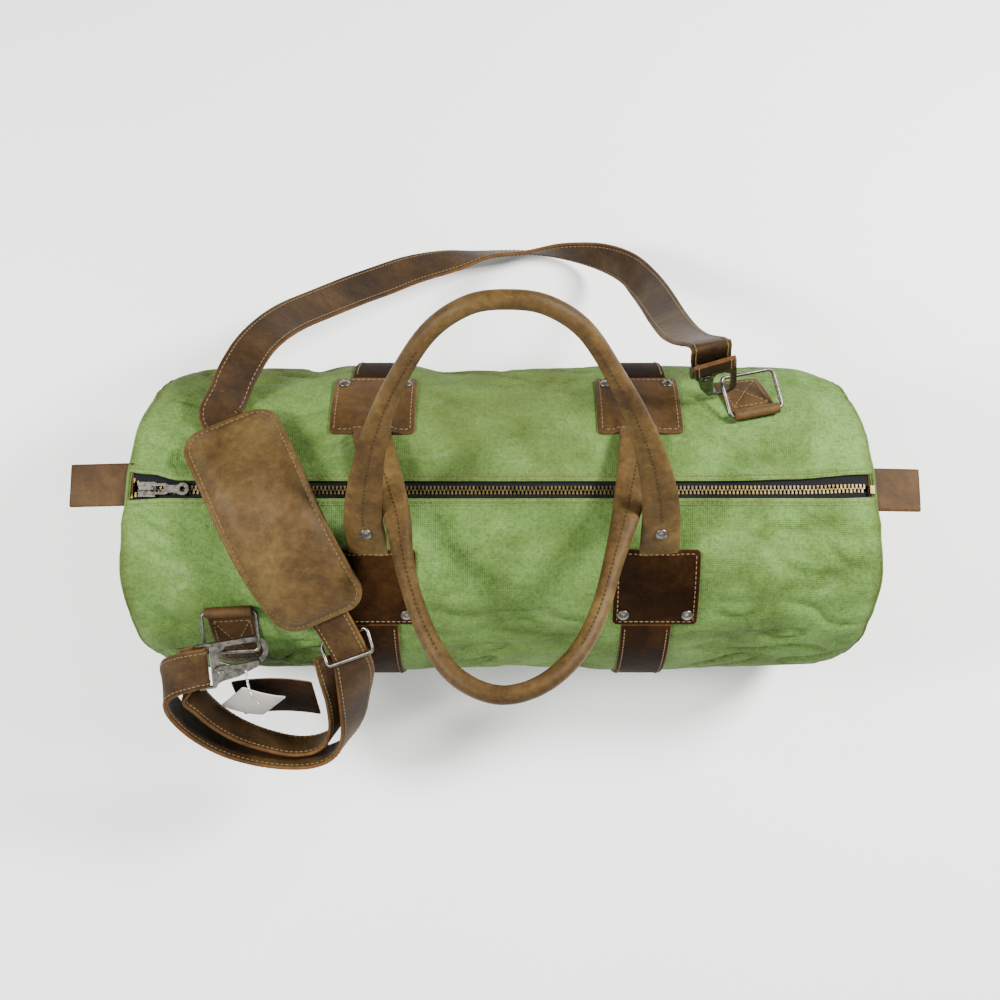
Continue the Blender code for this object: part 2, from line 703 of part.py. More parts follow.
def strap_arch():
    """The long strap: under the pad, out behind the bag, and up to the right hook."""
    path = []
    sides = []
    for t, rise in [(t, 0) for t in spread(0.06, 0.94, 10)] + [(1.0, 0.5 * MM), (1.06, 2.4 * MM)]:
        point, side = pad_frame(t, STRAP_OFFSET + rise)
        path.append(point)
        sides.append(side)
    frame = right_hook_frame()
    bar = frame @ Vector((0, HOOK_BAR_V, 0))
    n_axis = (frame.to_3x3() @ Vector((0, 0, 1))).normalized()
    u_axis = (frame.to_3x3() @ Vector((1, 0, 0))).normalized()
    v_axis = (frame.to_3x3() @ Vector((0, 1, 0))).normalized()
    # Route points beyond the pad, each with the direction across the strap.
    route = [((-206.5, 75, 232), (0.9, 0.2, -0.25)), ((-202, 88, 232), (0.9, -0.3, -0.2)),
             ((-195, 105, 228), (0.88, -0.45, -0.1)), ((-189, 121, 216), (0.85, -0.5, 0.0)),
             ((-180, 138, 199), (0.8, -0.6, 0.05)), ((-168, 157, 173), (0.72, -0.7, 0.05)),
             ((-148, 178, 142), (0.66, -0.74, 0.05)), ((-126, 199, 112), (0.6, -0.79, 0.05)),
             ((-104, 217, 87), (0.5, -0.85, 0.1)), ((-78, 236, 63), (0.4, -0.87, 0.25)),
             ((-46, 252, 41), (0.25, -0.8, 0.5)), ((-15, 263, 27), (0.1, -0.5, 0.85)),
             ((22, 269, 17), (0.02, -0.36, 0.93)), ((59, 268, 21), (-0.02, 0.1, 0.99)),
             ((92, 258, 33), (0.1, 0.45, 0.89)), ((114, 239, 57), (0.35, 0.5, 0.79)),
             ((125, 214, 88), (0.65, 0.5, 0.57)), ((131, 188, 124), (0.85, 0.4, 0.35)),
             ((136, 159, 163), (0.94, 0.3, 0.15)), ((140, 134, 203), (0.96, 0.25, 0.05)),
             ((143, 117, 240), (0.97, 0.2, -0.03)), ((146, 107, 267), (0.97, 0.2, -0.08)),
             ((149, 100.5, 285), (0.97, 0.2, -0.1)), ((151, 95, 292), (0.97, 0.2, -0.1))]
    for point, side in route:
        path.append(Vector(point) * MM)
        sides.append(Vector(side).normalized())
    around = STRAP_FOLD_R + STRAP_THICK / 2
    fold = [bar - 6 * MM * u_axis - around * n_axis]
    for a in spread(-90, 90, 6):
        turn = math.radians(a)
        fold.append(bar + around * (math.cos(turn) * u_axis + math.sin(turn) * n_axis))
    fold += [bar - 6 * MM * u_axis + around * n_axis, bar - 12 * MM * u_axis + around * n_axis]
    path += fold
    sides += [-v_axis] * len(fold)
    densify_strip("strap_long", path, sides)


def densify_strip(name, path, sides):
    smooth = smooth_path(path, 2)
    smooth_sides = smooth_path(sides, 2)
    strip(name, smooth, smooth_sides, STRAP_WIDTH, STRAP_THICK, leather())


def strap_loop():
    """The doubled end: from the slide round the left hook's bar and back."""
    frame = left_hook_frame()
    bar = frame @ Vector((0, HOOK_BAR_V, 0))
    n_axis = (frame.to_3x3() @ Vector((0, 0, 1))).normalized()
    u_axis = (frame.to_3x3() @ Vector((1, 0, 0))).normalized()
    v_axis = (frame.to_3x3() @ Vector((0, 1, 0))).normalized()
    around = STRAP_FOLD_R + STRAP_THICK / 2
    inner = [((-128.5, -118.5, 187), (-0.87, -0.42, -0.2)), ((-126.5, -131, 176), (-0.84, -0.48, 0.1)),
             ((-125, -147, 156), (-0.7, -0.5, 0.45)), ((-128, -165, 134), (-0.45, -0.5, 0.72)),
             ((-137, -178, 118), (-0.2, -0.5, 0.84)), ((-151, -185, 112), (-0.05, -0.5, 0.86)),
             ((-169, -186, 115), (0.0, -0.5, 0.87)), ((-190, -181, 126), (0.1, -0.55, 0.83)),
             ((-209, -173, 141), (0.15, -0.65, 0.74)), ((-224, -162, 158), (0.18, -0.78, 0.55)),
             ((-234, -150, 175), (0.15, -0.9, 0.25)), ((-240, -140, 189), (0.08, -0.94, -0.1))]
    outer = [((-249, -137, 204), (0.06, -0.95, -0.2)), ((-255, -146, 190), (0.12, -0.92, 0.1)),
             ((-251, -159, 172), (0.2, -0.8, 0.45)), ((-239, -173, 155), (0.2, -0.65, 0.72)),
             ((-220, -185, 139), (0.12, -0.55, 0.82)), ((-196, -193, 125), (0.05, -0.5, 0.86)),
             ((-170, -196.5, 116), (0.0, -0.5, 0.87)), ((-147, -195, 113), (-0.08, -0.5, 0.86)),
             ((-129, -187, 118), (-0.22, -0.5, 0.84)), ((-118, -171, 134), (-0.48, -0.5, 0.72)),
             ((-114, -151, 158), (-0.72, -0.5, 0.45)), ((-112, -132, 182), (-0.86, -0.42, -0.15)),
             ((-113.5, -120, 195), (-0.887, -0.25, -0.39))]
    path = [Vector(point) * MM for point, _ in inner]
    sides = [Vector(side).normalized() for _, side in inner]
    fold = [bar - 7 * MM * u_axis - around * n_axis]
    for a in spread(-90, 90, 6):
        turn = math.radians(a)
        fold.append(bar + around * (math.cos(turn) * u_axis + math.sin(turn) * n_axis))
    fold.append(bar - 8 * MM * u_axis + around * n_axis)
    path += fold
    sides += [v_axis] * len(fold)
    path += [Vector(point) * MM for point, _ in outer]
    sides += [Vector(side).normalized() for _, side in outer]
    for t, rise in ((-0.12, 5 * MM), (-0.05, 1.8 * MM), (0.035, 0)):
        point, side = pad_frame(t, STRAP_OFFSET + rise)
        path.append(point)
        sides.append(-side)
    densify_strip("strap_loop", path, sides)


def adjuster():
    """A thin rectangular slide whose lower bar lies over the doubled strap."""
    point, side = pad_frame(ADJUSTER_PLACE, ADJUSTER_LIFT)
    ahead, _ = pad_frame(ADJUSTER_PLACE + 0.1, ADJUSTER_LIFT)
    up_path = (ahead - point).normalized()
    normal = side.cross(up_path).normalized()
    down_path = up_path - ADJUSTER_TILT * normal
    wide = ADJUSTER_HALF_WIDTH
    tall = ADJUSTER_HALF_HEIGHT
    corners = [(-wide, -tall), (wide, -tall), (wide, tall), (-wide, tall)]
    path = [point + a * side + b * down_path for a, b in round_corners(corners, 3 * MM)]
    tube("adjuster_ring", path, ADJUSTER_WIRE_R, nickel(), closed=True)


def hang_tag():
    tag_plate("hang_tag_cover", (-176, -148, 150), 0, 62 * MM, 66 * MM, leather())
    tag_plate("hang_tag_card", (-193, -153, 160), -32, 36 * MM, 44 * MM, card())
    route = ((-190, -131, 214), (-189, -142, 207), (-188, -150, 193), (-186, -154.5, 178))
    path = smooth_path([Vector(point) * MM for point in route], 3)
    tube("tag_chain", path, CHAIN_R, nickel(), sides=6)


def tag_plate(name, centre, turn, width, height, finish):
    lean = Matrix.Rotation(math.radians(-TAG_LEAN), 4, "X")
    spin = Matrix.Rotation(math.radians(turn), 4, "Z")
    frame = Matrix.Translation(Vector(centre) * MM) @ lean @ spin
    outline = [(-width / 2, -height / 2), (width / 2, -height / 2), (width / 2, height / 2),
               (-width / 2, height / 2)]
    prism(name, outline, frame, -TAG_THICK / 2, TAG_THICK / 2, finish)


def main():
    clear_scene()
    canvas_panels()
    ends()
    zipper()
    bands_and_patches()
    handle("handle_front", -1, FRONT_ARCH, FRONT_LEAN, 170 * MM)
    handle("handle_back", 1, BACK_ARCH, BACK_LEAN, 130 * MM)
    ring_tab("ring_tab_left", LEFT_STATION, TAB_LENGTH_LEFT)
    ring_tab("ring_tab_right", RIGHT_STATION, TAB_LENGTH_RIGHT)
    ring("ring_left", LEFT_STATION, LEFT_RING_LIFT)
    ring("ring_right", RIGHT_STATION, RIGHT_RING_LIFT)
    hook("left", left_hook_frame())
    hook("right", right_hook_frame())
    shoulder_pad()
    strap_arch()
    strap_loop()
    adjuster()
    hang_tag()


main()
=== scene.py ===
"""Looks for the canvas duffel bag: sagging canvas shell, leather trim with stitching, metal fittings.

Everything is in metres in the CAD frame. Angles on the barrel are in degrees from its top, positive
towards the back.
"""
import math

import bmesh
import bpy
from mathutils import Matrix, Vector, noise


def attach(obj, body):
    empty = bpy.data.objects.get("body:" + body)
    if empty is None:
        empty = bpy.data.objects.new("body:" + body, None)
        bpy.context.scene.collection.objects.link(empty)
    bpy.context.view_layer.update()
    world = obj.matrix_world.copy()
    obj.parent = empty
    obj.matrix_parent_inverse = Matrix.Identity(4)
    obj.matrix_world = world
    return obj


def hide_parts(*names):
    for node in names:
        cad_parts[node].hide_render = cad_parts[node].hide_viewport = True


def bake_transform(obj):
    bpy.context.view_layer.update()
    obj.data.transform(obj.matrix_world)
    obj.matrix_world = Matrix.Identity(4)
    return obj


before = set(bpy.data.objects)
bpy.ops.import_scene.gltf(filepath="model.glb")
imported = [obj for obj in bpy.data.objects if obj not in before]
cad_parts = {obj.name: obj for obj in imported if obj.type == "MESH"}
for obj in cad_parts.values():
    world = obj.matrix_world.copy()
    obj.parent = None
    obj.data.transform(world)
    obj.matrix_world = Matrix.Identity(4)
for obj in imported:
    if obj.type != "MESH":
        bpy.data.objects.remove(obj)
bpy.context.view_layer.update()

MM = 0.001
X_AXIS = Vector((1, 0, 0))

# The barrel: its radius, its axis's height, its canvas, and where the zipper's opening ends.
R = 0.125
AXIS_Z = 0.120
CANVAS_THICK = 1.8 * MM
SEAM_GAP = 0.6 * MM
SLOT_REACH = 0.277
HEM_STITCH = 3.4 * MM
BULGE_X = 0.2785

# Leather: the bands' and patches' centres along the barrel, and the sizes they are cut to.
BAND_X = {"left": -0.097, "right": 0.110}
BAND_WIDTH = 38 * MM
PATCH_WIDTH = 64 * MM
PATCH_ANGLE = 29
PATCH_CORNER = 4 * MM
BARREL_LEATHER = 2.2 * MM
TAB_PLY = 1.9 * MM
TAB_GAP = 0.5 * MM
RING_WIRE = 1.5 * MM

# ---------------------------------------------------------------- materials


def new_material(name):
    made = bpy.data.materials.new(name)
    made.use_nodes = True
    tree = made.node_tree
    return made, tree, tree.nodes["Principled BSDF"]


def node(tree, kind, **settings):
    made = tree.nodes.new(kind)
    for key, value in settings.items():
        if key in made.inputs:
            made.inputs[key].default_value = value
        else:
            setattr(made, key, value)
    return made


def object_coords(tree, scale=(1, 1, 1), turn=0.0):
    coords = node(tree, "ShaderNodeTexCoord")
    mapping = node(tree, "ShaderNodeMapping")
    mapping.inputs["Scale"].default_value = scale
    mapping.inputs["Rotation"].default_value = (0, 0, math.radians(turn))
    tree.links.new(coords.outputs["Object"], mapping.inputs["Vector"])
    return mapping.outputs["Vector"]


def noise_node(tree, vector, scale, detail=5.0, rough=0.6, distortion=0.0):
    made = node(tree, "ShaderNodeTexNoise")
    made.inputs["Scale"].default_value = scale
    made.inputs["Detail"].default_value = detail
    made.inputs["Roughness"].default_value = rough
    made.inputs["Distortion"].default_value = distortion
    tree.links.new(vector, made.inputs["Vector"])
    return made.outputs["Fac"]


def ramp(tree, value, stops):
    made = node(tree, "ShaderNodeValToRGB")
    ladder = made.color_ramp.elements
    while len(ladder) < len(stops):
        ladder.new(0.5)
    for step, (where, color) in zip(ladder, stops):
        step.position = where
        step.color = (*color, 1)
    tree.links.new(value, made.inputs["Fac"])
    return made.outputs["Color"]


def color_mix(tree, factor, first, second, blend="MIX"):
    made = tree.nodes.new("ShaderNodeMixRGB")
    made.blend_type = blend
    for value, socket in ((factor, made.inputs[0]), (first, made.inputs[1]), (second, made.inputs[2])):
        if isinstance(value, (int, float)):
            socket.default_value = value
        elif isinstance(value, tuple):
            socket.default_value = (*value, 1)
        else:
            tree.links.new(value, socket)
    return made.outputs[0]


def bump(tree, height, strength, distance, normal=None):
    made = node(tree, "ShaderNodeBump")
    made.inputs["Strength"].default_value = strength
    made.inputs["Distance"].default_value = distance
    tree.links.new(height, made.inputs["Height"])
    if normal:
        tree.links.new(normal, made.inputs["Normal"])
    return made.outputs["Normal"]


def wave(tree, vector, direction, scale):
    made = node(tree, "ShaderNodeTexWave", wave_type="BANDS", bands_direction=direction)
    made.inputs["Scale"].default_value = scale
    made.inputs["Distortion"].default_value = 1.2
    made.inputs["Detail"].default_value = 1.0
    made.inputs["Detail Scale"].default_value = 2.0
    tree.links.new(vector, made.inputs["Vector"])
    return made.outputs["Fac"]


def scaled(tree, value, low, high):
    made = node(tree, "ShaderNodeMapRange")
    made.inputs["To Min"].default_value = low
    made.inputs["To Max"].default_value = high
    tree.links.new(value, made.inputs["Value"])
    return made.outputs["Result"]


def canvas_material():
    made, tree, shader = new_material("waxed_canvas")
    flat = object_coords(tree)
    uv = node(tree, "ShaderNodeUVMap").outputs["UV"]
    weave = color_mix(tree, 0.5, wave(tree, uv, "X", 200), wave(tree, uv, "Y", 200))
    blotch = noise_node(tree, flat, 13, 7, 0.66, 0.5)
    tone = ramp(tree, blotch, [(0.28, (0.0399, 0.0666, 0.0147)), (0.44, (0.0740, 0.1320, 0.0304)),
                               (0.58, (0.1053, 0.1910, 0.0490)), (0.74, (0.1480, 0.2482, 0.0785))])
    speck = noise_node(tree, flat, 380, 3, 0.7)
    fleck = ramp(tree, speck, [(0.30, (0.58, 0.60, 0.46)), (0.52, (1, 1, 1)), (0.78, (1.30, 1.24, 1.20))])
    tone = color_mix(tree, 0.85, tone, fleck, "MULTIPLY")
    threads = ramp(tree, weave, [(0.15, (0.66, 0.67, 0.62)), (0.7, (1.12, 1.12, 1.1))])
    tone = color_mix(tree, 0.55, tone, threads, "MULTIPLY")
    rubbed = noise_node(tree, object_coords(tree, (1, 2, 2), 30), 20, 6, 0.72, 1.0)
    chalk = ramp(tree, rubbed, [(0.58, (0, 0, 0)), (0.76, (0.5, 0.5, 0.5))])
    tone = color_mix(tree, chalk, tone, (0.1767, 0.2581, 0.0997))
    stain = noise_node(tree, object_coords(tree, (1, 1.6, 1.6), -20), 6.5, 5, 0.6, 0.8)
    stained = ramp(tree, stain, [(0.52, (0, 0, 0)), (0.72, (0.32, 0.32, 0.32))])
    tone = color_mix(tree, stained, tone, (0.0501, 0.0792, 0.0136))
    # The per-vertex darkening of the canvas: dirt at the seams, darker patches towards the bottom, a stain at
    # the back left, and painted shade in the middle of the top and at the back left.
    wear_and_shade_attribute = node(tree, "ShaderNodeAttribute", attribute_name="darkening")
    tone = color_mix(tree, wear_and_shade_attribute.outputs["Fac"], tone, (0.0450, 0.0390, 0.0083))
    tree.links.new(tone, shader.inputs["Base Color"])
    first = bump(tree, weave, 0.5, 0.0005)
    second = bump(tree, speck, 0.3, 0.0007, first)
    crease = noise_node(tree, flat, 30, 6, 0.65, 0.8)
    third = bump(tree, crease, 0.5, 0.005, second)
    tree.links.new(third, shader.inputs["Normal"])
    tree.links.new(scaled(tree, blotch, 0.75, 0.95), shader.inputs["Roughness"])
    shader.inputs["Specular IOR Level"].default_value = 0.12
    return made


def leather_material(name, dark, base, light, rough=(0.45, 0.72), grain=1.0, shine=0.12):
    """Oiled leather that has gone pale where it was pulled and dark where it was handled."""
    made, tree, shader = new_material(name)
    flat = object_coords(tree)
    cloud = noise_node(tree, flat, 17, 8, 0.68, 0.25)
    tone = ramp(tree, cloud, [(0.28, dark), (0.50, base), (0.72, light)])
    fine = noise_node(tree, flat, 170, 4, 0.7)
    grit = ramp(tree, fine, [(0.30, (0.55, 0.50, 0.44)), (0.58, (1.04, 1.02, 1.0)), (0.80, (1.5, 1.38, 1.2))])
    tone = color_mix(tree, 0.7, tone, grit, "MULTIPLY")
    scratch = noise_node(tree, object_coords(tree, (1, 3, 2), 55), 75, 4, 0.6, 3.0)
    scuffs = ramp(tree, scratch, [(0.62, (0, 0, 0)), (0.74, (0.35, 0.35, 0.35))])
    tone = color_mix(tree, scuffs, tone, tuple(1.5 * c for c in light))
    tree.links.new(tone, shader.inputs["Base Color"])
    cells = node(tree, "ShaderNodeTexVoronoi", feature="DISTANCE_TO_EDGE")
    cells.inputs["Scale"].default_value = 620
    tree.links.new(flat, cells.inputs["Vector"])
    first = bump(tree, cells.outputs["Distance"], 0.35 * grain, 0.0005)
    second = bump(tree, fine, 0.35, 0.0008, first)
    third = bump(tree, cloud, 0.45, 0.004, second)
    tree.links.new(third, shader.inputs["Normal"])
    tree.links.new(scaled(tree, fine, *rough), shader.inputs["Roughness"])
    shader.inputs["Specular IOR Level"].default_value = shine
    return made


def metal_material(name, dark, light, rough):
    made, tree, shader = new_material(name)
    flat = object_coords(tree)
    patina = noise_node(tree, flat, 240, 5, 0.65)
    tone = ramp(tree, patina, [(0.33, dark), (0.62, light)])
    tree.links.new(tone, shader.inputs["Base Color"])
    shader.inputs["Metallic"].default_value = 1.0
    tree.links.new(scaled(tree, patina, rough[1], rough[0]), shader.inputs["Roughness"])
    tree.links.new(bump(tree, noise_node(tree, flat, 600, 3), 0.12, 0.0003), shader.inputs["Normal"])
    return made


def cloth_material(name, dark, light, scale, direction="X"):
    made, tree, shader = new_material(name)
    flat = object_coords(tree)
    rib = wave(tree, flat, direction, scale)
    tone = ramp(tree, rib, [(0.2, dark), (0.8, light)])
    tree.links.new(tone, shader.inputs["Base Color"])
    shader.inputs["Roughness"].default_value = 0.9
    shader.inputs["Specular IOR Level"].default_value = 0.15
    tree.links.new(bump(tree, rib, 0.4, 0.0004), shader.inputs["Normal"])
    return made


def card_material():
    made, tree, shader = new_material("uncoated_card")
    fibre = noise_node(tree, object_coords(tree), 900, 4, 0.7)
    tone = ramp(tree, fibre, [(0.3, (0.40, 0.37, 0.33)), (0.7, (0.55, 0.52, 0.48))])
    tree.links.new(tone, shader.inputs["Base Color"])
    shader.inputs["Roughness"].default_value = 0.8
    tree.links.new(bump(tree, fibre, 0.2, 0.0003), shader.inputs["Normal"])
    return made


CANVAS = canvas_material()
LEATHER = leather_material("brown_leather", (0.0114, 0.0053, 0.0018), (0.0306, 0.0153, 0.0048),
                           (0.0653, 0.0380, 0.0119))
LEATHER_DARK = leather_material("dark_leather", (0.0043, 0.0017, 0.0004), (0.0122, 0.0048, 0.0011),
                                (0.0316, 0.0132, 0.0029), (0.62, 0.85), 1.0, 0.04)
LEATHER_WARM = leather_material("warm_leather", (0.0167, 0.0078, 0.0024), (0.0446, 0.0225, 0.0065),
                                (0.0774, 0.0449, 0.0134))
LEATHER_GOLD = leather_material("golden_leather", (0.0228, 0.0119, 0.0035), (0.0630, 0.0362, 0.0105),
                                (0.1140, 0.0736, 0.0220), (0.40, 0.62))
LEATHER_PAD = leather_material("pad_leather", (0.0292, 0.0156, 0.0048), (0.0672, 0.0394, 0.0122),
                               (0.1096, 0.0748, 0.0245), (0.42, 0.64))
LEATHER_EDGE = leather_material("cut_leather_edge", (0.0408, 0.0170, 0.0049), (0.0714, 0.0322, 0.0095),
                                (0.1156, 0.0578, 0.0178), (0.6, 0.8), 0.5)
NICKEL = metal_material("antique_nickel", (0.050, 0.046, 0.039), (0.185, 0.172, 0.148), (0.26, 0.46))
STEEL = metal_material("bright_steel", (0.30, 0.29, 0.27), (0.62, 0.61, 0.58), (0.2, 0.32))
BRASS = metal_material("antique_brass", (0.060, 0.043, 0.018), (0.30, 0.235, 0.112), (0.25, 0.5))
TAPE = cloth_material("black_zipper_tape", (0.0022, 0.0022, 0.0026), (0.0085, 0.0085, 0.0095), 260)
THREAD = cloth_material("tan_thread", (0.085, 0.055, 0.024), (0.19, 0.135, 0.066), 900, "DIAGONAL")
THREAD_DARK = cloth_material("brown_thread", (0.016, 0.0085, 0.0045), (0.042, 0.024, 0.0120), 900, "DIAGONAL")
CARD = card_material()

# ---------------------------------------------------------------- mesh helpers


def build(name, verts, faces, mats, body, slot, face_mats=None, uvs=None, darkening=None, sharp=55, owner=()):
    mesh = bpy.data.meshes.new(name)
    mesh.from_pydata([tuple(v) for v in verts], [], faces)
    for mat in mats:
        mesh.materials.append(mat)
    if face_mats:
        mesh.polygons.foreach_set("material_index", face_mats)
    if uvs:
        layer = mesh.uv_layers.new(name="UVMap")
        for loop in mesh.loops:
            layer.data[loop.index].uv = uvs[loop.vertex_index]
    if darkening:
        marks = mesh.attributes.new("darkening", "FLOAT", "POINT")
        marks.data.foreach_set("value", darkening)
    bm = bmesh.new()
    bm.from_mesh(mesh)
    bmesh.ops.recalc_face_normals(bm, faces=bm.faces)
    bm.to_mesh(mesh)
    bm.free()
    mesh.shade_smooth()
    mesh.set_sharp_from_angle(angle=math.radians(sharp))
    obj = bpy.data.objects.new(name, mesh)
    bpy.context.scene.collection.objects.link(obj)
    if body:
        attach(obj, body)
    if owner:
        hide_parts(*owner)
    return obj


def smooth_path(points, steps=4):
    points = [Vector(point) for point in points]
    ends = [2 * points[0] - points[1]] + points + [2 * points[-1] - points[-2]]
    path = []
    for i in range(1, len(ends) - 2):
        before, start, stop, after = ends[i - 1:i + 3]
        for step in range(steps):
            t = step / steps
            path.append(0.5 * (2 * start + (stop - before) * t
                               + (2 * before - 5 * start + 4 * stop - after) * t * t
                               + (3 * start - before - 3 * stop + after) * t ** 3))
    path.append(points[-1])
    return path


def tangents(path):
    ahead = path[1:] + path[-1:]
    behind = path[:1] + path[:-1]
    return [(a - b).normalized() for a, b in zip(ahead, behind)]


def spread(start, stop, steps):
    return [start + (stop - start) * i / steps for i in range(steps + 1)]


def smoothstep(t):
    t = min(1.0, max(0.0, t))
    return t * t * (3 - 2 * t)


def loft(name, rings, mats, body, slot, closed=False, face_mats=None, **extra):
    count = len(rings[0])
    verts = [point for ring in rings for point in ring]
    faces = []
    marks = []
    pairs = list(range(len(rings) - 1)) + ([len(rings) - 1] if closed else [])
    for row in pairs:
        above = (row + 1) % len(rings)
        for i in range(count):
            j = (i + 1) % count
            faces.append((row * count + i, row * count + j, above * count + j, above * count + i))
            marks.append(face_mats[i] if face_mats else 0)
    if not closed:
        faces.append(tuple(range(count))[::-1])
        faces.append(tuple(range((len(rings) - 1) * count, len(rings) * count)))
        marks += [max(face_mats) if face_mats else 0] * 2
    return build(name, verts, faces, mats, body, slot, marks, **extra)


def slab_faces(rows, cols):
    """Faces of a closed sheet of two layers of rows x cols points, and a mark of 1 on those at its rim."""
    second = rows * cols
    faces = []
    marks = []
    for r in range(rows - 1):
        for c in range(cols - 1):
            i = r * cols + c
            rim = r in (0, rows - 2) or c in (0, cols - 2)
            faces.append((i, i + 1, i + cols + 1, i + cols))
            faces.append((second + i, second + i + cols, second + i + cols + 1, second + i + 1))
            marks += [1 if rim else 0, 0]
    last = rows - 1
    border = list(range(cols)) + [r * cols + cols - 1 for r in range(1, rows)]
    border += [last * cols + c for c in range(cols - 2, -1, -1)] + [r * cols for r in range(last - 1, 0, -1)]
    for a, b in zip(border, border[1:] + border[:1]):
        faces.append((a, second + a, second + b, b))
        marks.append(1)
    return faces, marks


def circle(centre, side, other, radius, count):
    """Points round a centre in the plane of two unit vectors."""
    turns = [2 * math.pi * k / count for k in range(count)]
    return [centre + radius * (math.cos(turn) * side + math.sin(turn) * other) for turn in turns]


def stack_faces(start, rings, count):
    """Faces of a closed solid made of rings of points, the first point being number start."""
    faces = []
    for r in range(rings - 1):
        low = start + r * count
        for k in range(count):
            j = (k + 1) % count
            faces.append((low + k, low + j, low + count + j, low + count + k))
    last = start + (rings - 1) * count
    faces.append(tuple(range(start, start + count))[::-1])
    faces.append(tuple(range(last, last + count)))
    return faces


def ribbon_frames(path, sides):
    frames = []
    for point, along, side in zip(path, tangents(path), sides):
        side = (side - side.dot(along) * along).normalized()
        frames.append((point, along, side, side.cross(along)))
    return frames


def ribbon(name, path, sides, width, thick, mats, body, slot, **extra):
    """A leather strip with crowned faces and slightly rounded cut edges."""
    w = width / 2
    h = thick / 2
    upper = [(w - 0.5 * h, 0.92 * h), (w - 2 * h, h), (w * 0.45, 1.08 * h)]
    profile = [(-w, -0.45 * h), (-w, 0.45 * h)] + [(-a, b) for a, b in upper] + upper[::-1]
    profile += [(w, 0.45 * h), (w, -0.45 * h), (w - 0.5 * h, -0.92 * h), (w - 2 * h, -h),
                (-w + 2 * h, -h), (-w + 0.5 * h, -0.92 * h)]
    rings = [[point + side * a + face * b for a, b in profile]
             for point, _, side, face in ribbon_frames(path, sides)]
    marks = [1, 1, 0, 0, 0, 0, 0, 1, 1, 1, 0, 0, 0, 1]
    return loft(name, rings, mats, body, slot, face_mats=marks, **extra)


def tube(name, path, radius, mats, body, slot, sides=12, closed=False, **extra):
    count = len(path)
    if closed:
        along_path = [(path[(i + 1) % count] - path[i - 1]).normalized() for i in range(count)]
    else:
        along_path = tangents(path)
    side = along_path[0].orthogonal().normalized()
    rings = []
    for point, along in zip(path, along_path):
        side = (side - side.dot(along) * along).normalized()
        rings.append(circle(point, side, along.cross(side), radius, sides))
    return loft(name, rings, mats, body, slot, closed=closed, **extra)


def resample(points, normals, pitch):
    """Evenly spaced (point, direction, normal) along a polyline."""
    found = []
    carry = pitch / 2
    for i in range(len(points) - 1):
        step = points[i + 1] - points[i]
        length = step.length
        while carry < length:
            t = carry / length
            normal = normals[i].lerp(normals[i + 1], t).normalized()
            found.append((points[i] + step * t, step.normalized(), normal))
            carry += pitch
        carry -= length
    return found


STITCH_SIDES = 6


def stitches(name, rows, body, mat=None, slot="brown_leather", pitch=4.0 * MM, length=2.9 * MM,
             radius=0.42 * MM):
    """Rows of single thread stitches lying on a surface, each one a small rounded bar."""
    verts = []
    faces = []
    # Along the stitch, width and rise, as shares of its length and radius. Its ends dip into the surface.
    profile = [(-0.50, 0.35, -0.8), (-0.38, 0.95, 0.15), (0.0, 1.0, 0.35), (0.38, 0.95, 0.15),
               (0.50, 0.35, -0.8)]
    for points, normals in rows:
        for place, along, up in resample(points, normals, pitch):
            cross = along.cross(up).normalized()
            start = len(verts)
            for reach, wide, rise in profile:
                centre = place + along * reach * length + up * rise * radius
                verts += circle(centre, cross, up, radius * wide, STITCH_SIDES)
            faces += stack_faces(start, len(profile), STITCH_SIDES)
    return build(name, verts, faces, [mat or THREAD], body, slot, sharp=80)


# ---------------------------------------------------------------- the canvas shell

END_SHAPE = ((-180, 0.271), (-120, 0.273), (-90, 0.275), (-62, 0.281), (-32, 0.2845), (-14, 0.281),
             (-4, 0.2775), (4, 0.2770), (20, 0.2750), (45, 0.2690), (70, 0.2660), (90, 0.2660), (120, 0.2680), (180, 0.2710))


def end_reach(angle):
    """How far out the shell's end seam lies at an angle."""
    angle = (angle + 180) % 360 - 180
    for (low, start), (high, stop) in zip(END_SHAPE, END_SHAPE[1:]):
        if low <= angle <= high:
            return start + (stop - start) * smoothstep((angle - low) / (high - low))
    return END_SHAPE[0][1]


def leather_cover(x, angle):
    """1 where a patch or a band keeps the canvas smooth, falling to 0 around it."""
    cover = 0.0
    for centre in BAND_X.values():
        cover = max(cover, 1 - smoothstep((abs(x - centre) - 0.026) / 0.025))
    if abs(angle) < 55:
        for centre, side in ((-0.095, -1), (0.116, -1), (-0.097, 1), (0.105, 1)):
            if side * angle > 0:
                cover = max(cover, 1 - smoothstep((abs(x - centre) - 0.034) / 0.02))
    for centre, low, high in ((-0.204, -72, -38), (0.188, 24, 50)):
        away = max(abs(x - centre) - 0.022, R * math.radians(max(low - angle, angle - high, 0)))
        cover = max(cover, 1 - smoothstep(away / 0.018))
    return cover


# How far in from its end seams the barrel is rounded off.
ROUND_OFF = 0.034


